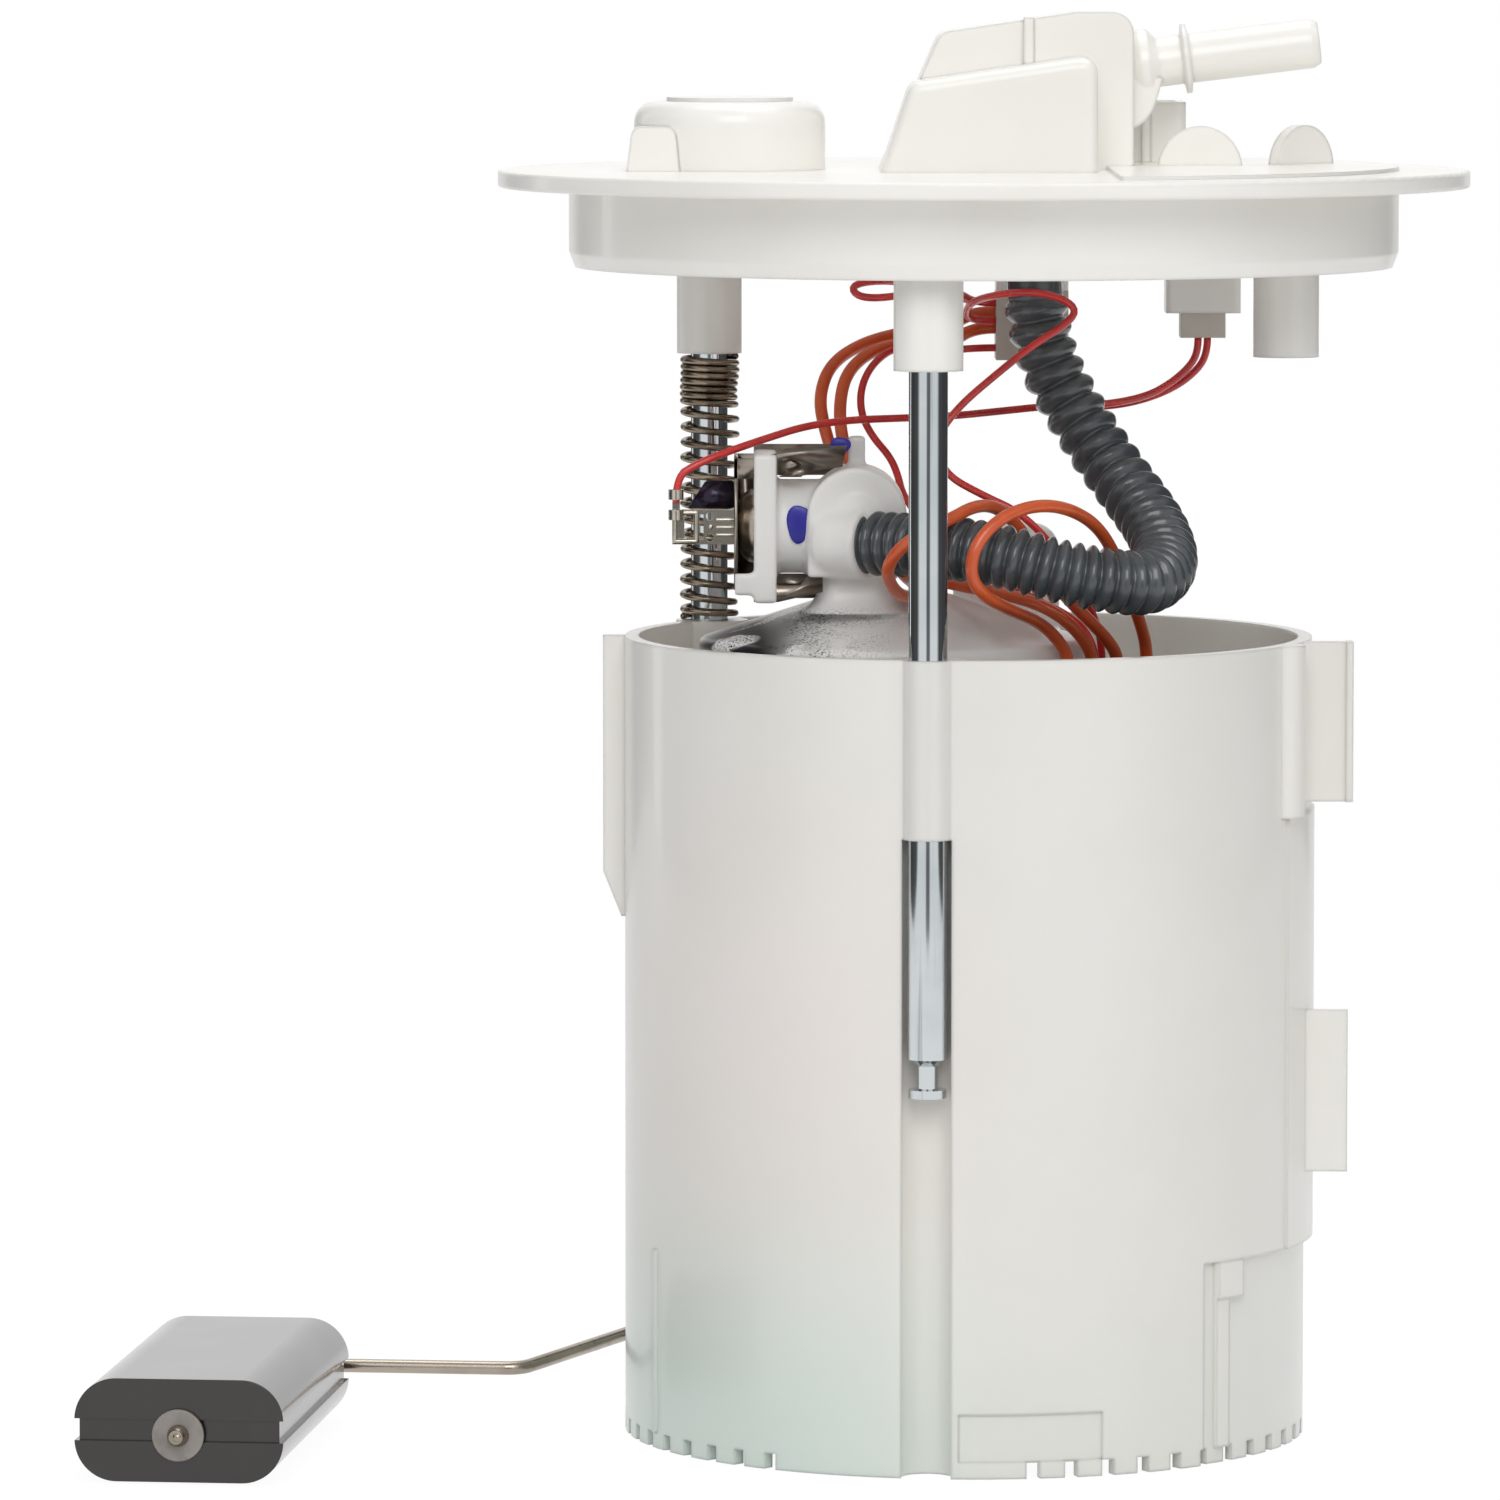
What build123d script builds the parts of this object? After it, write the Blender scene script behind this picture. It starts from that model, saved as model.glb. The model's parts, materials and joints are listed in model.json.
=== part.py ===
from build123d import *
from math import asin, atan2, cos, degrees, dist, pi, radians, sin, sqrt, tan
import os

# Fuel pump module, in millimetres. Origin: centre of the cover's sealing face.
# +Z runs up out of the tank, +X towards the fuel outlet, -Y to the front guide rod.

# Cover plate and the skirt that enters the tank neck
PLATE_R = 76.7
PLATE_T = 2.7
PLATE_EDGE_R = 0.5
SKIRT_R = 65.5
SKIRT_DEPTH = 12.5
SKIRT_WALL = 2.0
SKIRT_LEAD_H = 2.4
SKIRT_LEAD_W = 0.9
PAD_RISE = 0.6
PAD_START_X = 19.4

# Vent dome and its roll-over valve
DOME_X = -40.1
DOME_R = 15.1
DOME_H = 10.8
DOME_EDGE_R = 3.4
DOME_WALL = 1.8
DOME_DISC_R = 10.0
DOME_DISC_H = 0.6
LUG_FRONT = 14.0
LUG_H = 7.0
VALVE_FIT = 0.1
VALVE_SEAT_T = 1.5
VALVE_CAGE_WALL = 1.6
VALVE_CAGE_DROP = 6.0
VALVE_LIFT = 2.0
VALVE_VENT_R = 2.4

# Outlet housing on the cover: a front block, and a taller rear block
FRONT_BLOCK_X0 = -17.4
FRONT_BLOCK_X1 = 17.4
FRONT_BLOCK_SLANT = 5.6
FRONT_BLOCK_Z0 = 16.7
FRONT_BLOCK_Z1 = 20.9
FRONT_BLOCK_Y0 = -20.0
REAR_BLOCK_X0 = -17.6
REAR_BLOCK_X1 = 23.6
REAR_BLOCK_SLANT = 10.7
REAR_BLOCK_Z0 = 24.3
REAR_BLOCK_Z1 = 27.5
REAR_BLOCK_CREST_X = 14.5
REAR_BLOCK_Y0 = -3.0
REAR_BLOCK_Y1 = 17.0
REAR_CROWN_R = 3.4
BLOCK_OVERLAP = 2.0
BLOCK_WALL = 2.2
BLOCK_EDGE_R = 2.4
BLOCK_FRONT_R = 1.6
BLOCK_RIB_X = 7.0
BLOCK_RIB_W = 1.6
BLOCK_RIB_H = 24.0

# Outlet tube: a 5/16 inch quick-connect spigot, measured along its axis from OUTLET_X
OUTLET_R = 3.945
OUTLET_BORE_R = 2.6
RISER_BORE_R = 3.0
OUTLET_X = 33.5
OUTLET_Y = 7.0
OUTLET_Z = 20.2
OUTLET_TILT = 6.9
OUTLET_TIP = 19.9
OUTLET_TIP_EDGE = 1.2
OUTLET_BEAD_R = 5.48
OUTLET_BEAD_T = 1.4
BEAD_S = -2.0
BEAD_EASE = 0.3
ROOT_BEAD_S = -8.6
ROOT_R = 4.5
GUSSET_T = 8.4
GUSSET_TOP = 2.2
GUSSET_DROP = 9.5
GUSSET_REACH = 4.8

# Electrical connector shell on the cover
CONNECTOR_X0 = -1.0
CONNECTOR_X1 = 32.8
CONNECTOR_Y0 = 18.6
CONNECTOR_Y1 = 37.4
CONNECTOR_TOP_Z = 12.9
CONNECTOR_WALL = 1.4
CONNECTOR_RIBS_X = (22.0, 26.4)
TERMINAL_W = 2.4
TERMINAL_T = 0.8
TERMINAL_TOP_Z = 10.0

# Finger fins on the cover
FIN_HALF_W = 6.65
FIN_H = 6.8
FIN_T = 2.0
FIN_FRONT_X = 34.3
FIN_FRONT_Y = 2.0
FIN_REAR_X = 50.7
FIN_REAR_Y = 10.0
FIN_REAR_TURN = 45

# Sockets under the cover and the plugs in them
SOCKET_Y = 28.0
SOCKET_WALL = 1.3
SOCKET_FIT = 0.1
PLUG_INSERT = 9.0
PUMP_SOCKET_X = 8.4
PUMP_SOCKET_W = 11.6
PUMP_SOCKET_D = 11.0
PUMP_SOCKET_Z = -17.5
PUMP_PLUG_Z = -28.5
SENSOR_SOCKET_X = 35.9
SENSOR_SOCKET_W = 12.0
SENSOR_SOCKET_D = 9.4
SENSOR_SOCKET_Z = -21.0
SENSOR_PLUG_W = 7.2
SENSOR_PLUG_Z = -25.0
PIN_PITCH = 5.2
PIN_REACH = 5.0
SENSOR_PIN_W = 1.6
SENSOR_PIN_SPREAD = 1.8
SENSOR_CRANK_X = 26.0
SENSOR_LEAD_Z = 0.9

# Hollow spigot under the right of the cover
SPIGOT_X = 47.9
SPIGOT_R = 5.2
SPIGOT_BORE_R = 3.4
SPIGOT_Z = -26.9

# Reservoir
RES_X = -2.3
RES_R = 54.45
RES_WALL = 2.2
RIM_Z = -71.0
BASE_Z = -197.6
FLOOR_Z = -190.0
FLOOR_T = 2.2
TOOTH_H = 2.5
TOOTH_PITCH = 6.4
NOTCH_W = 2.1
WIDE_TOOTH_START = -119.0
WIDE_TOOTH_END = -83.0
CHANNEL_R = 4.0
PANEL_RISE = 0.55
PANEL_TOP_Z = -98.0
PANEL_START = -25.0
PANEL_SWEEP = 45.0
SETBACK = 0.9
SETBACK_TOP_Z = -166.0
SETBACK_START = -48.6
RIB_START = -45.5
RIB_SWEEP = 3.0
KNUCKLE_H = 5.7
LEFT_RIB_ANGLE = -155.5
RECESS_DEPTH = 0.6
RECESS_Z = -195.0
RECESS_H = 7.4
RECESS_START = -92.6
RECESS_SWEEP = 24.1
RAIL_REACH = 3.45
RAIL_T = 2.4
RAIL_BOTTOM_Z = -115.7
POST_R = 3.45
POST_ANGLE = -23.7
POST_BOTTOM_Z = -98.0
BRACKET_Y = -14.0
BRACKET_T = 2.0
BRACKET_REACH = 5.75
BRACKET_LIP = 1.1
BRACKET_BOTTOM_Z = -96.2
STEP_REACH = 5.15
STEP_TOP_Z = -129.2
STEP_BOTTOM_Z = -154.8

# Foot valve in the floor, and the jet pump that draws through it
FOOT_INSET = 18.15
FOOT_R = 8.5
FOOT_T = 1.6
FOOT_STEM_R = 1.6
FOOT_FIT = 0.05
FOOT_HOLE_R = 1.5
JET_R = 10.4
JET_WALL = 1.2
JET_H = 8.0
JET_TUBE_R = 3.6
JET_BORE_R = 2.2
JET_FRONT = 18.0
JET_BACK = 15.0

# Guide rods, spring, and the travel of the cover on them
GUIDE_INSET = 1.25
FRONT_GUIDE_ANGLE = -97.9
REAR_GUIDE_ANGLE = 140.7
GUIDE_LENGTH = 27.6
GUIDE_TUBE_R = 3.75
ROD_R = 3.0
ROD_FIT = 0.05
ROD_SEAT = 22.0
REAR_ROD_Z = -122.0
STOP_R = 3.175
STOP_LENGTH = 33.8
STOP_GAP = 0.1
NECK_R = 1.68
NECK_LENGTH = 4.7
HEAD_R = 2.98
HEAD_T = 1.3
FRONT_BOSS_R = 5.35
FRONT_BOSS_Z = -26.6
REAR_BOSS_R = 5.25
REAR_BOSS_Z = -27.8
SPRING_R = 4.75
SPRING_WIRE_R = 0.6
SPRING_GAP = 0.1
SPRING_SEAT_R = 5.4
SPRING_CLOSED_TURNS = 6
SPRING_OPEN_TURNS = 14
SPRING_CLOSED_GAP = 0.05

# Filter housing and pump inside the reservoir
PUMP_X = -14.5
HOUSING_R = 28.5
HOUSING_WALL = 1.8
HOUSING_WEB_Z = -184.0
HOUSING_WEB_T = 2.0
WEB_HOLE_R = 8.0
STRAINER_R = 24.0
BLOCK_TOP_Z = -78.0
BLOCK_REACH = 5.0
BLOCK_Y = -9.0
BLOCK_W = 20.0
BLOCK_D = 26.0
BLOCK_H = 14.0
BLOCK_FIT = 0.05
SLEEVE_WALL = 1.2
SLEEVE_TOP_Z = -100.0
ELEMENT_FIT = 0.3
ELEMENT_TOP_Z = -84.0
PLEATS = 30
PLEAT_DEPTH = 1.2
STRAINER_FIT = 0.2
PUMP_R = 19.0
PUMP_FIT = 0.3
PUMP_TOP_Z = -96.0
PUMP_SHELL_T = 1.2
INLET_CAP_T = 8.0
OUTLET_CAP_T = 9.0
CAP_LIP = 2.0
MAGNET_T = 2.8
MAGNET_SPREAD = 140
MAGNET_OVERHANG = 3.0
AIR_GAP = 0.6
ARMATURE_L = 42.0
ARMATURE_SLOTS = 8
SLOT_DEPTH = 6.2
SLOT_W = 3.4
WINDING_FIT = 0.2
COMMUTATOR_R = 7.5
COMMUTATOR_L = 7.0
SHAFT_R = 2.0
SHAFT_FIT = 0.05
IMPELLER_R = 14.5
IMPELLER_T = 3.4
IMPELLER_GAP = 0.15
IMPELLER_BLADES = 24
BLADE_DEPTH = 2.2
BRUSH_W = 4.0
BRUSH_L = 4.5
BRUSH_H = 7.3
BRUSH_FIT = 0.05
PUMP_PLATE_T = 2.5
WINDING_H = 4.0
INLET_R = 6.0
INLET_L = 4.2
NIPPLE_R = 4.0
NIPPLE_L = 7.0

# Filter cover: shallow dome, outlet tower and regulator socket
COVER_OVERHANG = 2.0
COVER_FIT = 0.1
COVER_WALL = 1.9
COVER_SKIRT = 6.0
COVER_SHOULDER_Z = -71.5
COVER_CROWN_Z = -64.4
COVER_CROWN_R = 9.0
TOWER_X = -20.1
TOWER_Y = -10.0
TOWER_W = 10.9
TOWER_D = 11.0
HOOD_W = 15.4
HOOD_D = 8.0
HOOD_BOTTOM_Z = -60.8
HOOD_CENTRE_Z = -51.1
TAB_TOP_Z = -38.9
TAB_W = 2.6
COLUMN_X = 4.0
COLUMN_Y = 12.0
COLUMN_R = 8.5
COLUMN_TOP_Z = -54.0
PORT_X = -19.3
PORT_Y = -18.8
PORT_Z = -55.2
PORT_R = 5.2
PORT_TURN = -30
PORT_L = 6.0
REG_Z = -53.0
REG_Y = -11.0
REG_BODY_R = 7.4
REG_CAN_R = 5.9
REG_FIT = 0.1
REG_PLATE_X = -36.3
REG_SEAT_X = -27.0
REG_TIP_X = -38.8
REG_PLATE_T = 3.6
REG_PLATE_H = 23.4
REG_PLATE_D = 17.0
REG_LUG_H = 3.5
REG_LUG_L = 3.0
REG_PASSAGE_R = 2.0
REG_SEAL_X = -30.0
SEAL_W = 0.95
SEAL_WIRE_R = 0.9
CLIP_T = 0.6
CLIP_FIT = 0.05
CLIP_HALF_D = 7.6
CLIP_BOTTOM_Z = -64.9
CLIP_TOP_Z = -40.5
CLIP_LEG_BOTTOM_Z = -62.6
CLIP_LEG_TOP_Z = -42.0
CLIP_LOWER_H = 3.9
CLIP_UPPER_H = 4.9
CLIP_RIGHT_X = -21.8
CLIP_LOWER_X = -25.6
STRAP_X0 = -49.1
STRAP_Y = -13.0
STRAP_Z0 = -55.8
STRAP_Z1 = -50.3
STRAP_EYE_X = -43.2
STRAP_EYE_R = 0.6
STRAP_EYE_PITCH = 3.4
CRIMP_L = 1.6
RING_WIRE_R = 1.1

# Level sender behind the reservoir, turned with the hinge of its arm
SENDER_TURN = -6.2
SENDER_U = -20.0
CARD_W = 22.0
CARD_H = 9.0
CARD_T = 0.8
CARD_RADIUS = 14.0
WIPER_T = 0.2
PIVOT_Z = -150.0
SENDER_STANDOFF = 1.15
SENDER_T = 5.4
SENDER_W = 30.0
SENDER_H = 46.0
HUB_R = 6.0
HUB_T = 4.6
HUB_GAP = 0.3
PIVOT_R = 2.5
PIVOT_FIT = 0.05
ARM_WIRE_R = 1.1
FLOAT_U = -115.3
FLOAT_L = 68.0
FLOAT_W = 32.5
FLOAT_H = 16.0
FLOAT_EDGE_R = 6.5
FLOAT_FRONT_N = -71.9
FLOAT_Z = -189.3
FLOAT_GROOVE_W = 3.4
FLOAT_GROOVE_DEPTH = 0.7
FLOAT_FIT = 0.05
RETAINER_R = 4.0
RETAINER_T = 0.8
WIRE_TIP = 3.0
WIRE_END_R = 4.6
WIRE_BEND_N = 2.5
HUB_ARM_L = 20.0
HUB_ARM_W = 6.4
PIN_HEAD_R = 3.6
PIN_HEAD_T = 0.8
WIRE_DROP = 0.6
ARM_BEND_U = -42.9
ARM_BEND_Z = -186.1
ARM_CORNER_U = -72.0
ARM_BEND_R = 4.0
ARM_RANGE = 62.0
WIPER_W = 1.6

# Cords
HOSE_R = 5.25
BARB_R = 3.9
HOSE_TOP_Z = -3.0
BARB_L = 3.2
BARB_FIT = 0.05
HOSE_LEAD_IN = 7.5
COLLAR_R = 4.8
ORANGE_R = 1.0
RED_R = 0.6

# Places worked out from the sizes above
PLATE_TOP_Z = PLATE_T
PAD_TOP_Z = PLATE_TOP_Z + PAD_RISE
DOME_TOP_Z = PLATE_TOP_Z + DOME_H
CONNECTOR_FLOOR_Z = PAD_TOP_Z + 0.4
connector_mid = ((CONNECTOR_X0 + CONNECTOR_X1) / 2, (CONNECTOR_Y0 + CONNECTOR_Y1) / 2)
connector_bore_w = CONNECTOR_X1 - CONNECTOR_X0 - 2 * CONNECTOR_WALL
connector_bore_d = CONNECTOR_Y1 - CONNECTOR_Y0 - 2 * CONNECTOR_WALL
pump_plug_w = PUMP_SOCKET_W - 2 * SOCKET_WALL
pump_plug_d = PUMP_SOCKET_D - 2 * SOCKET_WALL
sensor_plug_d = SENSOR_SOCKET_D - 2 * SOCKET_WALL
tube_dir = (cos(radians(OUTLET_TILT)), 0, sin(radians(OUTLET_TILT)))
tube_plane = Plane(origin=(OUTLET_X, OUTLET_Y, OUTLET_Z), x_dir=(0, 1, 0), z_dir=tube_dir)
profile_plane = Plane(origin=(OUTLET_X, OUTLET_Y, OUTLET_Z), x_dir=tube_dir, z_dir=(0, -1, 0))
hose_top = (7.9, OUTLET_Y)
riser_top_z = OUTLET_Z - (OUTLET_X - hose_top[0]) * tan(radians(OUTLET_TILT)) + RISER_BORE_R
tube_depth = (OUTLET_X - hose_top[0]) / cos(radians(OUTLET_TILT))
OUTLET_ROOT = (OUTLET_X - REAR_BLOCK_X1) / cos(radians(OUTLET_TILT)) + 3
fin_front = Plane(origin=(FIN_FRONT_X, FIN_FRONT_Y, PLATE_TOP_Z), x_dir=(1, 0, 0), z_dir=(0, -1, 0))
fin_rear = Plane(
    origin=(FIN_REAR_X, FIN_REAR_Y, PLATE_TOP_Z),
    x_dir=(cos(radians(FIN_REAR_TURN)), sin(radians(FIN_REAR_TURN)), 0),
    z_dir=(sin(radians(FIN_REAR_TURN)), -cos(radians(FIN_REAR_TURN)), 0),
)
guide_end_z = RIM_Z - GUIDE_LENGTH
barb_end_z = HOSE_TOP_Z - BARB_L
housing_top_z = COVER_SHOULDER_Z - COVER_WALL
shell_in_r = PUMP_R - PUMP_SHELL_T
magnet_in_r = shell_in_r - MAGNET_T
armature_r = magnet_in_r - AIR_GAP
brush_back_r = COMMUTATOR_R + BRUSH_FIT + BRUSH_L
inlet_cap_z = HOUSING_WEB_Z + PUMP_SHELL_T
inlet_cap_top_z = inlet_cap_z + INLET_CAP_T
outlet_cap_z = PUMP_TOP_Z - PUMP_SHELL_T - OUTLET_CAP_T
commutator_z = outlet_cap_z - COMMUTATOR_L - 1
armature_top_z = commutator_z - WINDING_H - 1
sleeve_r = PUMP_R + PUMP_FIT
sleeve_out_r = sleeve_r + SLEEVE_WALL
housing_in_r = HOUSING_R - HOUSING_WALL
lead_z = SENSOR_LEAD_Z
sender_pad_n = RES_R + SENDER_STANDOFF
hub_n = sender_pad_n + SENDER_T + HUB_GAP
arm_n = hub_n + HUB_T / 2
rod_bore_r = ROD_R + ROD_FIT
inner_r = RES_R - RES_WALL
guide_r = RES_R - GUIDE_INSET
rail_x = RES_X - RES_R - RAIL_REACH
bracket_x = RES_X + RES_R + BRACKET_REACH
step_x = RES_X + RES_R + STEP_REACH
foot_x = RES_X + RES_R - FOOT_INSET
cover_r = HOUSING_R + COVER_OVERHANG
block_x = PUMP_X + HOUSING_R + BLOCK_REACH
gusset_z = OUTLET_Z - GUSSET_TOP

os.makedirs("parts", exist_ok=True)


def save(part, label):
    """Label a finished piece and write it to its own file."""
    part.label = label
    export_step(part, f"parts/{label}.step")


def upright(x, y):
    """Plane for a turned profile about the vertical through (x, y), local y upward."""
    return Plane(origin=(x, y, 0), x_dir=(1, 0, 0), z_dir=(0, -1, 0))


def vertical(x, y):
    """Vertical axis through (x, y)."""
    return Axis((x, y, 0), (0, 0, 1))


def on_circle(radius, angle):
    """Point at a radius and an angle about the reservoir's axis."""
    return (RES_X + radius * cos(radians(angle)), radius * sin(radians(angle)))


def ring_sector(r_in, r_out, start, sweep):
    """Sketch of a sector of a ring about the origin, angles in degrees."""
    with BuildSketch() as sector:
        with BuildLine():
            inner = CenterArc((0, 0), r_in, start, sweep)
            outer = CenterArc((0, 0), r_out, start, sweep)
            Line(inner @ 0, outer @ 0)
            Line(inner @ 1, outer @ 1)
        make_face()
    return sector.sketch


def cord(points, radius, label):
    """Sweep a round cord along runs joined by the largest arcs that they allow."""
    places = [Vector(*p) for p in points]
    radii = []
    for before, here, after in zip(places, places[1:], places[2:]):
        turn = (here - before).get_angle(after - here)
        shorter = min((here - before).length, (after - here).length)
        radii.append(0.45 * shorter / tan(radians(turn) / 2))
    with BuildPart() as swept:
        with BuildLine() as route:
            FilletPolyline(*places, radius=radii)
        with BuildSketch(Plane(origin=places[0], z_dir=places[1] - places[0])):
            Circle(radius)
        sweep(path=route.wires()[0])
    length = route.wires()[0].length
    expected = pi * radius**2 * length
    print(
        f"{label}: {length:.1f} mm, tightest arc {min(radii) / (2 * radius):.1f} diameters,"
        f" volume {swept.part.volume / expected:.4f} of section times length"
    )
    return swept.part


FRONT_ROD = on_circle(guide_r, FRONT_GUIDE_ANGLE)
REAR_ROD = on_circle(guide_r, REAR_GUIDE_ANGLE)

# Lead frame: two straight pump blades, and two cranked blades to the sensor socket
with BuildPart() as connector_terminals:
    with BuildSketch(Plane.XY.offset(TERMINAL_TOP_Z)):
        with GridLocations(PIN_PITCH, 1, 2, 1):
            with Locations((PUMP_SOCKET_X, SOCKET_Y)):
                Rectangle(TERMINAL_W, TERMINAL_T)
    extrude(amount=PUMP_SOCKET_Z + PLUG_INSERT - PIN_REACH - TERMINAL_TOP_Z)
    for side in (-1, 1):
        with BuildSketch(Plane.XZ.offset(-SOCKET_Y - side * SENSOR_PIN_SPREAD)):
            with BuildLine():
                Polyline(
                    (SENSOR_CRANK_X, TERMINAL_TOP_Z),
                    (SENSOR_CRANK_X, lead_z),
                    (SENSOR_SOCKET_X, lead_z),
                    (SENSOR_SOCKET_X, SENSOR_SOCKET_Z + PLUG_INSERT - PIN_REACH),
                    (SENSOR_SOCKET_X + TERMINAL_T, SENSOR_SOCKET_Z + PLUG_INSERT - PIN_REACH),
                    (SENSOR_SOCKET_X + TERMINAL_T, lead_z + TERMINAL_T),
                    (SENSOR_CRANK_X + TERMINAL_T, lead_z + TERMINAL_T),
                    (SENSOR_CRANK_X + TERMINAL_T, TERMINAL_TOP_Z),
                    close=True,
                )
            make_face()
        extrude(amount=SENSOR_PIN_W / 2, both=True)
save(connector_terminals.part, "connector_terminals")

# Outlet housing, front block: slanted left flank, top rising to the right
with BuildPart() as front_block:
    with BuildSketch(Plane.XZ.offset(-FRONT_BLOCK_Y0)):
        with BuildLine():
            Polyline(
                (FRONT_BLOCK_X0, 0),
                (FRONT_BLOCK_X0 + FRONT_BLOCK_SLANT, FRONT_BLOCK_Z0),
                (FRONT_BLOCK_X1, FRONT_BLOCK_Z1),
                (FRONT_BLOCK_X1, 0),
                close=True,
            )
        make_face()
    extrude(amount=FRONT_BLOCK_Y0 - REAR_BLOCK_Y0 - BLOCK_OVERLAP)
    fillet(front_block.edges().filter_by(Axis.Y).filter_by_position(Axis.Z, 1, 40), BLOCK_EDGE_R)
    front_edges = front_block.faces().sort_by(Axis.Y)[0].edges().filter_by_position(Axis.Z, 1, 40)
    fillet(front_edges, BLOCK_FRONT_R)

# Outlet housing, rear block: taller, and it carries the outlet tube
with BuildPart() as rear_block:
    with BuildSketch(Plane.XZ.offset(-REAR_BLOCK_Y0)):
        with BuildLine():
            Polyline(
                (REAR_BLOCK_X0, 0),
                (REAR_BLOCK_X0 + REAR_BLOCK_SLANT, REAR_BLOCK_Z0),
                (REAR_BLOCK_CREST_X, REAR_BLOCK_Z1),
                (REAR_BLOCK_X1, REAR_BLOCK_Z1),
                (REAR_BLOCK_X1, 0),
                close=True,
            )
        make_face()
    extrude(amount=REAR_BLOCK_Y0 - REAR_BLOCK_Y1)
    crown = rear_block.edges().filter_by(Axis.Y).filter_by_position(Axis.Z, 1, 40)
    fillet(crown.sort_by(Axis.X)[0], BLOCK_EDGE_R)
    crown = rear_block.edges().filter_by(Axis.Y).filter_by_position(Axis.Z, 1, 40)
    fillet(crown.sort_by(Axis.X)[-1], REAR_CROWN_R)
    back_edges = rear_block.faces().sort_by(Axis.Y)[-1].edges().filter_by_position(Axis.Z, 1, 40)
    fillet(back_edges, BLOCK_FRONT_R)

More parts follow.
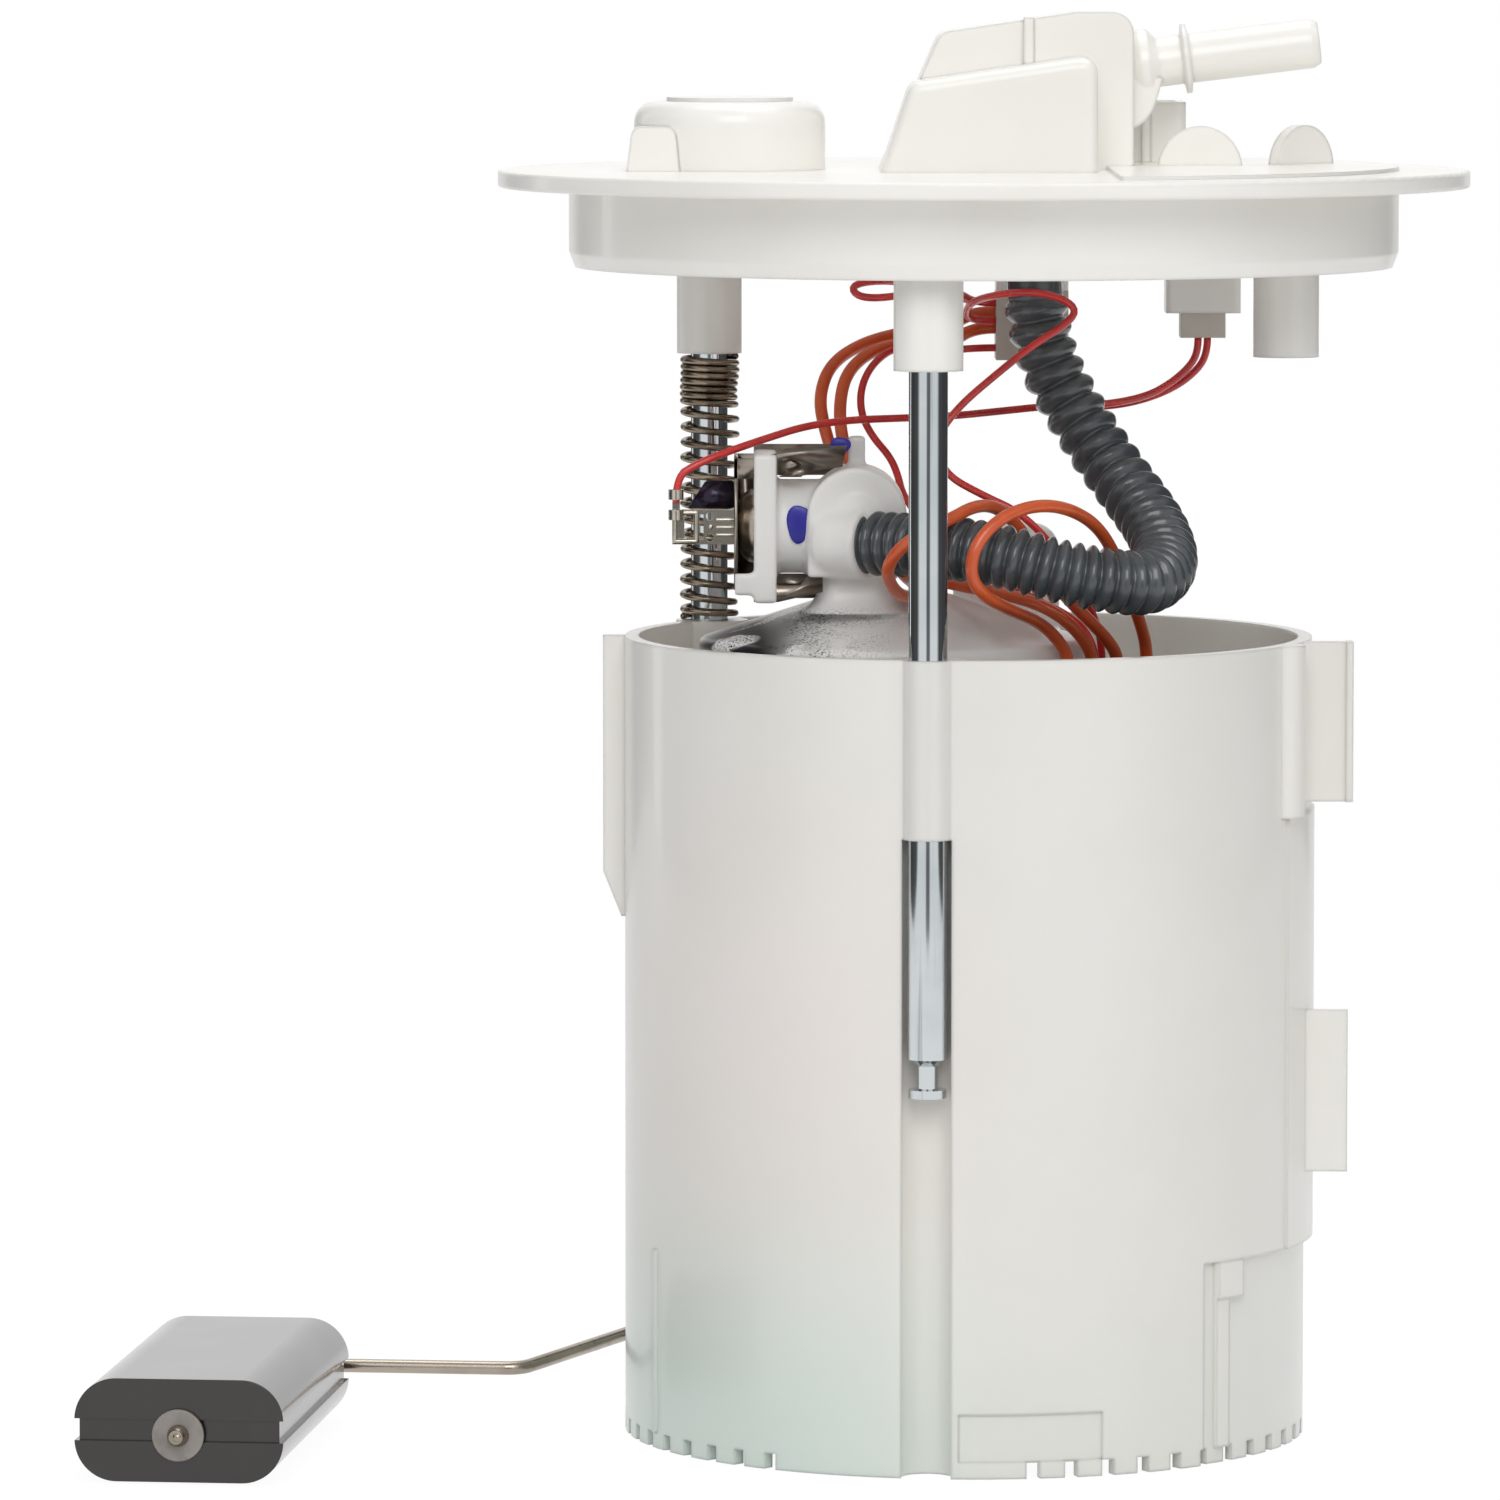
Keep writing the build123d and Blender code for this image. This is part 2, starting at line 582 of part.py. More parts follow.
# Flange cover: plate, skirt, bosses, vent dome and outlet housing in one moulding
with BuildPart() as flange_cover:
    with BuildSketch():
        Circle(PLATE_R)
    extrude(amount=PLATE_T)
    fillet(flange_cover.edges(), PLATE_EDGE_R)
    with BuildSketch(Plane.XY.offset(PLATE_TOP_Z)):
        Circle(SKIRT_R)
        with Locations((PAD_START_X - SKIRT_R, 0)):
            Rectangle(2 * SKIRT_R, 2 * SKIRT_R, mode=Mode.SUBTRACT)
    extrude(amount=PAD_RISE)
    with BuildSketch(Plane.XZ):
        with BuildLine():
            Polyline(
                (SKIRT_R - SKIRT_WALL, 0),
                (SKIRT_R, 0),
                (SKIRT_R, SKIRT_LEAD_H - SKIRT_DEPTH),
                (SKIRT_R - SKIRT_LEAD_W, -SKIRT_DEPTH),
                (SKIRT_R - SKIRT_WALL, -SKIRT_DEPTH),
                close=True,
            )
        make_face()
    revolve(axis=Axis.Z)
    # Vent dome with its raised disc, hollow from below for the valve
    with BuildSketch(Plane.XZ):
        with BuildLine():
            FilletPolyline(
                (DOME_X, 0),
                (DOME_X + DOME_R, 0),
                (DOME_X + DOME_R, DOME_TOP_Z),
                (DOME_X, DOME_TOP_Z),
                radius=(0, DOME_EDGE_R),
            )
            Line((DOME_X, DOME_TOP_Z), (DOME_X, 0))
        make_face()
        with Locations((DOME_X + DOME_DISC_R / 2, DOME_TOP_Z)):
            Rectangle(DOME_DISC_R, 2 * DOME_DISC_H)
    revolve(axis=Axis((DOME_X, 0, 0), (0, 0, 1)))
    with BuildSketch(Plane.XZ.offset(LUG_FRONT)):
        with BuildLine():
            FilletPolyline(
                (DOME_X - DOME_R - 1.4, 0),
                (DOME_X - DOME_R - 0.2, PLATE_TOP_Z + LUG_H),
                (DOME_X - DOME_R + 6.6, PLATE_TOP_Z + LUG_H),
                (DOME_X - DOME_R + 7.6, 0),
                radius=1.6,
            )
            Line((DOME_X - DOME_R + 7.6, 0), (DOME_X - DOME_R - 1.4, 0))
        make_face()
    extrude(amount=-LUG_FRONT)
    with BuildSketch(Plane.XY.offset(-1)):
        with Locations((DOME_X, 0)):
            Circle(DOME_R - DOME_WALL)
    extrude(amount=1 + DOME_TOP_Z - DOME_WALL, mode=Mode.SUBTRACT)

    add(front_block.part)
    add(rear_block.part)
    # Moulded rib up the front of the rear block
    with BuildSketch(Plane.XY.offset(PLATE_TOP_Z)):
        with Locations((BLOCK_RIB_X, REAR_BLOCK_Y0)):
            Rectangle(BLOCK_RIB_W, 2 * BLOCK_RIB_W)
    extrude(amount=BLOCK_RIB_H)
    # Outlet tube with its root and quick-connect bead
    with BuildSketch(profile_plane):
        with BuildLine():
            Polyline(
                (-OUTLET_ROOT, 0),
                (-OUTLET_ROOT, ROOT_R),
                (ROOT_BEAD_S - OUTLET_BEAD_T, ROOT_R),
                (ROOT_BEAD_S, OUTLET_BEAD_R),
                (ROOT_BEAD_S + OUTLET_BEAD_T, OUTLET_BEAD_R),
                (ROOT_BEAD_S + 2 * OUTLET_BEAD_T, OUTLET_R),
                (BEAD_S, OUTLET_R),
                (BEAD_S + BEAD_EASE, OUTLET_BEAD_R),
                (BEAD_S + OUTLET_BEAD_T - BEAD_EASE, OUTLET_BEAD_R),
                (BEAD_S + OUTLET_BEAD_T, OUTLET_R),
                (OUTLET_TIP - OUTLET_TIP_EDGE, OUTLET_R),
                (OUTLET_TIP, OUTLET_R - OUTLET_TIP_EDGE / 2),
                (OUTLET_TIP, 0),
                close=True,
            )
        make_face()
    revolve(axis=Axis((OUTLET_X, OUTLET_Y, OUTLET_Z), tube_dir))
    # Gusset that carries the root of the tube off the block
    with BuildSketch(Plane.XZ.offset(GUSSET_T / 2 - OUTLET_Y)):
        with BuildLine():
            Polyline(
                (REAR_BLOCK_X1 - 1, gusset_z - GUSSET_DROP),
                (REAR_BLOCK_X1 - 1, gusset_z),
                (REAR_BLOCK_X1 + GUSSET_REACH, gusset_z - 1),
                (REAR_BLOCK_X1 + 0.8 * GUSSET_REACH, gusset_z - 0.46 * GUSSET_DROP),
            )
            ThreePointArc(
                (REAR_BLOCK_X1 + 0.8 * GUSSET_REACH, gusset_z - 0.46 * GUSSET_DROP),
                (REAR_BLOCK_X1 + 0.6 * GUSSET_REACH, gusset_z - 0.7 * GUSSET_DROP),
                (REAR_BLOCK_X1 + 0.2 * GUSSET_REACH, gusset_z - 0.9 * GUSSET_DROP),
            )
            Line(
                (REAR_BLOCK_X1 + 0.2 * GUSSET_REACH, gusset_z - 0.9 * GUSSET_DROP),
                (REAR_BLOCK_X1 - 1, gusset_z - GUSSET_DROP),
            )
        make_face()
    extrude(amount=-GUSSET_T)
    # Connector shell with keying ribs, open upward
    with BuildSketch(Plane.XY.offset(1)):
        with Locations(connector_mid):
            RectangleRounded(CONNECTOR_X1 - CONNECTOR_X0, CONNECTOR_Y1 - CONNECTOR_Y0, 1.6)
        with Locations(*[(x, CONNECTOR_Y0) for x in CONNECTOR_RIBS_X]):
            Rectangle(CONNECTOR_WALL, CONNECTOR_WALL)
    extrude(amount=CONNECTOR_TOP_Z - 1)
    with BuildSketch(Plane.XY.offset(CONNECTOR_FLOOR_Z)):
        with Locations(connector_mid):
            Rectangle(connector_bore_w, connector_bore_d)
    extrude(amount=CONNECTOR_TOP_Z - CONNECTOR_FLOOR_Z, mode=Mode.SUBTRACT)
    # Half-round finger fins
    for fin_plane in (fin_front, fin_rear):
        with BuildSketch(fin_plane):
            Ellipse(FIN_HALF_W, FIN_H)
            with Locations((0, -FIN_H)):
                Rectangle(3 * FIN_HALF_W, 2 * FIN_H, mode=Mode.SUBTRACT)
        extrude(amount=FIN_T / 2, both=True)
    # Everything that hangs under the plate
    with BuildSketch(Plane.XY):
        with Locations(FRONT_ROD):
            Circle(FRONT_BOSS_R)
    extrude(amount=FRONT_BOSS_Z)
    with BuildSketch(Plane.XY):
        with Locations(REAR_ROD):
            Circle(REAR_BOSS_R)
    extrude(amount=REAR_BOSS_Z)
    with BuildSketch(Plane.XY):
        with Locations((SPIGOT_X, 0)):
            Circle(SPIGOT_R)
    extrude(amount=SPIGOT_Z)
    with BuildSketch(Plane.XY):
        with Locations((PUMP_SOCKET_X, SOCKET_Y)):
            RectangleRounded(PUMP_SOCKET_W, PUMP_SOCKET_D, 1)
    extrude(amount=PUMP_SOCKET_Z)
    with BuildSketch(Plane.XY):
        with Locations((SENSOR_SOCKET_X, SOCKET_Y)):
            RectangleRounded(SENSOR_SOCKET_W, SENSOR_SOCKET_D, 1)
    extrude(amount=SENSOR_SOCKET_Z)
    with BuildSketch(Plane.XY):
        with Locations(hose_top):
            Circle(COLLAR_R)
    extrude(amount=HOSE_TOP_Z)
    with BuildSketch(Plane.XY):
        with Locations(hose_top):
            Circle(BARB_R)
    extrude(amount=barb_end_z)
    # Cores: rod sockets, spigot, plug cavities, block coring, fuel passage
    with BuildSketch(Plane.XY.offset(FRONT_BOSS_Z)):
        with Locations(FRONT_ROD):
            Circle(ROD_R)
    extrude(amount=ROD_SEAT, mode=Mode.SUBTRACT)
    with BuildSketch(Plane.XY.offset(REAR_BOSS_Z)):
        with Locations(REAR_ROD):
            Circle(ROD_R)
    extrude(amount=ROD_SEAT, mode=Mode.SUBTRACT)
    with BuildSketch(Plane.XY.offset(SPIGOT_Z)):
        with Locations((SPIGOT_X, 0)):
            Circle(SPIGOT_BORE_R)
    extrude(amount=-SPIGOT_Z, mode=Mode.SUBTRACT)
    with BuildSketch(Plane.XY.offset(PUMP_SOCKET_Z)):
        with Locations((PUMP_SOCKET_X, SOCKET_Y)):
            Rectangle(pump_plug_w + 2 * SOCKET_FIT, pump_plug_d + 2 * SOCKET_FIT)
    extrude(amount=PLUG_INSERT + SOCKET_FIT, mode=Mode.SUBTRACT)
    with BuildSketch(Plane.XY.offset(SENSOR_SOCKET_Z)):
        with Locations((SENSOR_SOCKET_X, SOCKET_Y)):
            Rectangle(SENSOR_PLUG_W + 2 * SOCKET_FIT, sensor_plug_d + 2 * SOCKET_FIT)
    extrude(amount=PLUG_INSERT + SOCKET_FIT, mode=Mode.SUBTRACT)
    with BuildSketch(Plane.XZ.offset(-FRONT_BLOCK_Y0 - BLOCK_WALL)):
        with BuildLine():
            Polyline(
                (FRONT_BLOCK_X0 + 2 * BLOCK_WALL, -1),
                (FRONT_BLOCK_X0 + FRONT_BLOCK_SLANT + BLOCK_WALL, FRONT_BLOCK_Z0 - BLOCK_WALL),
                (FRONT_BLOCK_X1 - BLOCK_WALL, FRONT_BLOCK_Z1 - BLOCK_WALL),
                (FRONT_BLOCK_X1 - BLOCK_WALL, -1),
                close=True,
            )
        make_face()
    extrude(amount=-(REAR_BLOCK_Y0 - FRONT_BLOCK_Y0 - 2 * BLOCK_WALL), mode=Mode.SUBTRACT)
    with BuildSketch(tube_plane.offset(OUTLET_TIP)):
        Circle(OUTLET_BORE_R)
    extrude(amount=-(OUTLET_TIP + tube_depth), mode=Mode.SUBTRACT)
    with BuildSketch(Plane.XY.offset(barb_end_z)):
        with Locations(hose_top):
            Circle(RISER_BORE_R)
    extrude(amount=riser_top_z - barb_end_z, mode=Mode.SUBTRACT)
    # The lead frame is moulded in
    add(connector_terminals.part, mode=Mode.SUBTRACT)
save(flange_cover.part, "flange_cover")

# Plugs: each a block with a latch step, and slots that take the blades
with BuildPart() as pump_plug:
    with BuildSketch(Plane.XY.offset(PUMP_SOCKET_Z + PLUG_INSERT)):
        with Locations((PUMP_SOCKET_X, SOCKET_Y)):
            Rectangle(pump_plug_w, pump_plug_d)
    extrude(amount=-PLUG_INSERT)
    with BuildSketch(Plane.XY.offset(PUMP_SOCKET_Z)):
        with Locations((PUMP_SOCKET_X, SOCKET_Y)):
            Rectangle(PUMP_SOCKET_W, PUMP_SOCKET_D)
    extrude(amount=PUMP_PLUG_Z - PUMP_SOCKET_Z)
    with BuildSketch(Plane.XY.offset(PUMP_SOCKET_Z + PLUG_INSERT)):
        with GridLocations(PIN_PITCH, 1, 2, 1):
            with Locations((PUMP_SOCKET_X, SOCKET_Y)):
                Rectangle(TERMINAL_W + 2 * SOCKET_FIT, TERMINAL_T + 2 * SOCKET_FIT)
    extrude(amount=-PIN_REACH - SOCKET_FIT, mode=Mode.SUBTRACT)
save(pump_plug.part, "pump_plug")

with BuildPart() as sensor_plug:
    with BuildSketch(Plane.XY.offset(SENSOR_SOCKET_Z + PLUG_INSERT)):
        with Locations((SENSOR_SOCKET_X, SOCKET_Y)):
            Rectangle(SENSOR_PLUG_W, sensor_plug_d)
    extrude(amount=SENSOR_PLUG_Z - SENSOR_SOCKET_Z - PLUG_INSERT)
    with BuildSketch(Plane.XY.offset(SENSOR_SOCKET_Z + PLUG_INSERT)):
        with GridLocations(1, 2 * SENSOR_PIN_SPREAD, 1, 2):
            with Locations((SENSOR_SOCKET_X + TERMINAL_T / 2, SOCKET_Y)):
                Rectangle(TERMINAL_T + 2 * SOCKET_FIT, SENSOR_PIN_W + 2 * SOCKET_FIT)
    extrude(amount=-PIN_REACH - SOCKET_FIT, mode=Mode.SUBTRACT)
save(sensor_plug.part, "sensor_plug")

# Roll-over valve in the vent dome: cage, seat disc and float
cage_r = DOME_R - DOME_WALL - VALVE_FIT
seat_z = DOME_TOP_Z - DOME_WALL - VALVE_SEAT_T - VALVE_FIT
cage_floor_z = VALVE_CAGE_WALL - VALVE_CAGE_DROP
float_r = cage_r - VALVE_CAGE_WALL - 4 * VALVE_FIT
dome_axis = Axis((DOME_X, 0, 0), (0, 0, 1))
with BuildPart() as vent_valve_cage:
    with BuildSketch(Plane.XY.offset(-VALVE_CAGE_DROP)):
        with Locations((DOME_X, 0)):
            Circle(cage_r)
    extrude(amount=seat_z + VALVE_CAGE_DROP)
    with BuildSketch(Plane.XY.offset(cage_floor_z)):
        with Locations((DOME_X, 0)):
            Circle(cage_r - VALVE_CAGE_WALL)
    extrude(amount=seat_z - cage_floor_z, mode=Mode.SUBTRACT)
    with BuildSketch(Plane.XY.offset(-VALVE_CAGE_DROP)):
        with Locations((DOME_X, 0)):
            with PolarLocations(cage_r / 2, 6):
                Circle(VALVE_VENT_R)
    extrude(amount=VALVE_CAGE_WALL, mode=Mode.SUBTRACT)
save(vent_valve_cage.part, "vent_valve_cage")

with BuildPart() as vent_valve_seat:
    with BuildSketch(Plane.XY.offset(seat_z)):
        with Locations((DOME_X, 0)):
            Circle(cage_r)
            Circle(VALVE_VENT_R, mode=Mode.SUBTRACT)
    extrude(amount=VALVE_SEAT_T)
save(vent_valve_seat.part, "vent_valve_seat")

with BuildPart() as rollover_float:
    with BuildSketch(Plane.XZ):
        with BuildLine():
            Polyline(
                (DOME_X, cage_floor_z),
                (DOME_X + float_r - 1, cage_floor_z),
                (DOME_X + float_r, cage_floor_z + 1),
                (DOME_X + float_r, seat_z - 2 * VALVE_LIFT - VALVE_FIT),
                (DOME_X + 2 * VALVE_VENT_R, seat_z - 2 * VALVE_LIFT - VALVE_FIT),
                (DOME_X + VALVE_VENT_R, seat_z - VALVE_LIFT - VALVE_FIT),
                (DOME_X, seat_z - VALVE_LIFT - VALVE_FIT),
                close=True,
            )
        make_face()
    revolve(axis=dome_axis)
save(rollover_float.part, "rollover_float")

# Reservoir: one moulding with guide channels, brackets, rail and a toothed foot
sender_x = (cos(radians(SENDER_TURN)), sin(radians(SENDER_TURN)), 0)
sender_n = (-sin(radians(SENDER_TURN)), cos(radians(SENDER_TURN)), 0)


def sender_plane(n):
    """Upright plane behind the reservoir at distance n, x along the sender, y upward."""
    origin = (RES_X + n * sender_n[0], n * sender_n[1], 0)
    return Plane(origin=origin, x_dir=sender_x, z_dir=(-sender_n[0], -sender_n[1], 0))


def sender_point(u, n, z):
    """Point given along the sender, outward from the reservoir's axis, and upward."""
    return (RES_X + u * sender_x[0] + n * sender_n[0], u * sender_x[1] + n * sender_n[1], z)


def res_plane(z):
    """Level plane on the reservoir's axis."""
    return Plane((RES_X, 0, z))


guides_local = [(x - RES_X, y) for x, y in (FRONT_ROD, REAR_ROD)]
guide_bulge_r = CHANNEL_R + RES_WALL
notch_angles = [
    -180 + (k + 0.5) * 360 / round(360 / TOOTH_PITCH)
    for k in range(round(360 / TOOTH_PITCH))
]
with BuildPart() as reservoir:
    with BuildSketch(res_plane(BASE_Z)):
        Circle(RES_R)
    extrude(amount=RIM_Z - BASE_Z)
    with BuildSketch(res_plane(SETBACK_TOP_Z)):
        add(ring_sector(RES_R - PANEL_RISE, RES_R + PANEL_RISE, PANEL_START, PANEL_SWEEP))
    extrude(amount=PANEL_TOP_Z - SETBACK_TOP_Z)
    # Rounded post and the plates of the two right-hand brackets
    with BuildSketch(Plane.XY.offset(POST_BOTTOM_Z)):
        with Locations(on_circle(RES_R - 1, POST_ANGLE)):
            Circle(POST_R)
    extrude(amount=RIM_Z - POST_BOTTOM_Z)
    with BuildSketch(Plane.XY.offset(BRACKET_BOTTOM_Z)):
        with Locations(((RES_X + inner_r - 4 + bracket_x) / 2, BRACKET_Y)):
            Rectangle(bracket_x - RES_X - inner_r + 4, BRACKET_T)
        with Locations((bracket_x - BRACKET_LIP / 2, BRACKET_Y)):
            Rectangle(BRACKET_LIP, 2 * BRACKET_T)
    extrude(amount=RIM_Z - BRACKET_BOTTOM_Z)
    with BuildSketch(Plane.XY.offset(STEP_BOTTOM_Z)):
        with Locations(((RES_X + inner_r - 4 + step_x) / 2, BRACKET_Y)):
            Rectangle(step_x - RES_X - inner_r + 4, BRACKET_T)
    extrude(amount=STEP_TOP_Z - STEP_BOTTOM_Z)
    # Left rail with its slanted lower end
    with BuildSketch(Plane.XZ):
        with BuildLine():
            Polyline(
                (RES_X - inner_r, RIM_Z),
                (rail_x, RIM_Z),
                (rail_x, RAIL_BOTTOM_Z + 3 * RAIL_T),
                (rail_x + 1.2 * RAIL_T, RAIL_BOTTOM_Z),
                (RES_X - inner_r, RAIL_BOTTOM_Z),
                close=True,
            )
        make_face()
    extrude(amount=RAIL_T / 2, both=True)
    # Pad that carries the level sender
    with BuildSketch(sender_plane(sender_pad_n)):
        with Locations((SENDER_U, PIVOT_Z)):
            Rectangle(SENDER_W - 2, SENDER_H + 4)
    extrude(amount=sender_pad_n / 2)
    # Seat of the coil spring, round the rear guide
    with BuildSketch(Plane.XY.offset(RIM_Z)):
        with Locations(REAR_ROD):
            Circle(SPRING_SEAT_R)
    extrude(amount=-GUIDE_LENGTH)
    # Hollow above and below the floor
    with BuildSketch(res_plane(FLOOR_Z)):
        Circle(inner_r)
        with Locations(*guides_local):
            Circle(guide_bulge_r, mode=Mode.SUBTRACT)
    extrude(amount=RIM_Z - FLOOR_Z, mode=Mode.SUBTRACT)
    with BuildSketch(res_plane(BASE_Z)):
        Circle(inner_r)
        with Locations(*guides_local):
            Circle(guide_bulge_r, mode=Mode.SUBTRACT)
    extrude(amount=FLOOR_Z - FLOOR_T - BASE_Z, mode=Mode.SUBTRACT)
    # Channels that the rods run down in, below the guide tubes
    with BuildSketch(Plane.XY.offset(BASE_Z)):
        with Locations(FRONT_ROD, REAR_ROD):
            Circle(CHANNEL_R)
    extrude(amount=guide_end_z - BASE_Z, mode=Mode.SUBTRACT)
    with BuildSketch(Plane.XY.offset(guide_end_z)):
        with Locations(FRONT_ROD):
            Circle(GUIDE_TUBE_R)
    extrude(amount=GUIDE_LENGTH)
    with BuildSketch(Plane.XY.offset(guide_end_z)):
        with Locations(FRONT_ROD, REAR_ROD):
            Circle(rod_bore_r)
    extrude(amount=GUIDE_LENGTH, mode=Mode.SUBTRACT)
    # Wall set back at the lower right, its rib and knuckle, and the shallow front recess
    with BuildSketch(res_plane(BASE_Z)):
        setback_sweep = PANEL_START + PANEL_SWEEP - SETBACK_START
        add(ring_sector(RES_R - SETBACK, RES_R + 2, SETBACK_START, setback_sweep))
    extrude(amount=SETBACK_TOP_Z - BASE_Z, mode=Mode.SUBTRACT)
    with BuildSketch(res_plane(BASE_Z + TOOTH_H)):
        add(ring_sector(RES_R - RES_WALL / 2, RES_R, RIB_START, RIB_SWEEP))
    extrude(amount=SETBACK_TOP_Z - BASE_Z - TOOTH_H)
    with BuildSketch(res_plane(SETBACK_TOP_Z)):
        add(ring_sector(RES_R - RES_WALL / 2, RES_R + PANEL_RISE, RIB_START, 2 * RIB_SWEEP))
    extrude(amount=-KNUCKLE_H)
    with BuildSketch(res_plane(RECESS_Z)):
        add(ring_sector(RES_R - RECESS_DEPTH, RES_R + 2, RECESS_START, RECESS_SWEEP))
    extrude(amount=RECESS_H, mode=Mode.SUBTRACT)
    with BuildSketch(res_plane(BASE_Z + TOOTH_H)):
        add(ring_sector(RES_R - RES_WALL / 2, RES_R + PANEL_RISE, LEFT_RIB_ANGLE, 1))
    extrude(amount=SETBACK_TOP_Z - BASE_Z - TOOTH_H)
    # Notches of the toothed foot
    with Locations(
        *[
            Location((*on_circle(RES_R, angle), BASE_Z + TOOTH_H / 2), (0, 0, angle))
            for angle in notch_angles
            if not WIDE_TOOTH_START < angle < WIDE_TOOTH_END
        ]
    ):
        Box(4 * RES_WALL, NOTCH_W, TOOTH_H, mode=Mode.SUBTRACT)
    # Holes of the foot valve
    with BuildSketch(Plane.XY.offset(FLOOR_Z)):
        with Locations((foot_x, 0)):
            Circle(FOOT_STEM_R + FOOT_FIT)
            with PolarLocations(FOOT_R * 0.62, 6):
                Circle(FOOT_HOLE_R)
    extrude(amount=-FLOOR_T, mode=Mode.SUBTRACT)
save(reservoir.part, "reservoir")

# Foot valve: rubber mushroom that lies on the floor and lets fuel in from below
with BuildPart() as foot_valve:
    with BuildSketch(Plane.XZ):
        with BuildLine():
            Polyline(
                (foot_x, FLOOR_Z + FOOT_T),
                (foot_x + FOOT_R / 2, FLOOR_Z + FOOT_T),
                (foot_x + FOOT_R, FLOOR_Z + FOOT_T / 3),
                (foot_x + FOOT_R, FLOOR_Z),
                (foot_x + FOOT_STEM_R, FLOOR_Z),
                (foot_x + FOOT_STEM_R, FLOOR_Z - FLOOR_T - FOOT_FIT),
                (foot_x + 1.5 * FOOT_STEM_R, FLOOR_Z - FLOOR_T - FOOT_FIT),
                (foot_x + FOOT_STEM_R, FLOOR_Z - FLOOR_T - 2 * FOOT_STEM_R),
                (foot_x, FLOOR_Z - FLOOR_T - 2 * FOOT_STEM_R),
                close=True,
            )
        make_face()
    revolve(axis=Axis((foot_x, 0, 0), (0, 0, 1)))
save(foot_valve.part, "foot_valve")

# Jet pump: a chamber over the foot valve, with the mixing tube across its top
with BuildPart() as jet_pump:
    with BuildSketch(Plane.XY.offset(FLOOR_Z)):
        with Locations((foot_x, 0)):
            Circle(JET_R)
    extrude(amount=JET_H)
    with BuildSketch(Plane.XZ.offset(JET_FRONT)):
        with Locations((foot_x, FLOOR_Z + JET_H)):
            Circle(JET_TUBE_R)
    extrude(amount=-JET_FRONT - JET_BACK)
    with BuildSketch(Plane.XY.offset(FLOOR_Z)):
        with Locations((foot_x, 0)):
            Circle(JET_R - JET_WALL)
    extrude(amount=JET_H - JET_WALL, mode=Mode.SUBTRACT)
    with BuildSketch(Plane.XZ.offset(JET_FRONT)):
        with Locations((foot_x, FLOOR_Z + JET_H)):
            Circle(JET_BORE_R)
    extrude(amount=-JET_FRONT - JET_BACK, mode=Mode.SUBTRACT)
save(jet_pump.part, "jet_pump")

# Guide rods: the front one has a stop, a neck and a head below its guide tube
stop_z = guide_end_z - STOP_GAP
neck_z = stop_z - STOP_LENGTH
head_z = neck_z - NECK_LENGTH
with BuildPart() as front_guide_rod:
    with BuildSketch(upright(*FRONT_ROD)):
        with BuildLine():
            Polyline(
                (0, FRONT_BOSS_Z + ROD_SEAT),
                (ROD_R, FRONT_BOSS_Z + ROD_SEAT),
                (ROD_R, stop_z),
                (STOP_R, stop_z),
                (STOP_R, neck_z),
                (NECK_R, neck_z - (STOP_R - NECK_R) * 0.7),
                (NECK_R, head_z),
                (HEAD_R, head_z),
                (HEAD_R, head_z - HEAD_T),
                (0, head_z - HEAD_T),
                close=True,
            )
        make_face()
    revolve(axis=vertical(*FRONT_ROD))
save(front_guide_rod.part, "front_guide_rod")

with BuildPart() as rear_guide_rod:
    with BuildSketch(Plane.XY.offset(REAR_BOSS_Z + ROD_SEAT)):
        with Locations(REAR_ROD):
            Circle(ROD_R)
    extrude(amount=REAR_ROD_Z - REAR_BOSS_Z - ROD_SEAT)
    chamfer(rear_guide_rod.faces().sort_by(Axis.Z)[0].edges(), 0.6)
save(rear_guide_rod.part, "rear_guide_rod")

# Return spring on the rear rod: closed turns under the boss, open turns below
spring_r = SPRING_R - SPRING_WIRE_R
spring_top_z = REAR_BOSS_Z - SPRING_WIRE_R
spring_end_z = RIM_Z + SPRING_WIRE_R
closed_pitch = 2 * SPRING_WIRE_R + SPRING_CLOSED_GAP
open_start_z = spring_top_z - SPRING_CLOSED_TURNS * closed_pitch
open_pitch = (open_start_z - spring_end_z) / SPRING_OPEN_TURNS
with BuildPart() as return_spring:
    for pitch, low_z, high_z in (
        (closed_pitch, open_start_z, spring_top_z),
        (open_pitch, spring_end_z, open_start_z),
    ):
        with BuildLine() as coil:
            Helix(pitch, high_z - low_z, spring_r, center=(*REAR_ROD, low_z))
        with BuildSketch(Plane(origin=coil.line @ 0, z_dir=coil.line % 0)):
            Circle(SPRING_WIRE_R)
        sweep(path=coil.wires()[0], is_frenet=True)
save(return_spring.part, "return_spring")

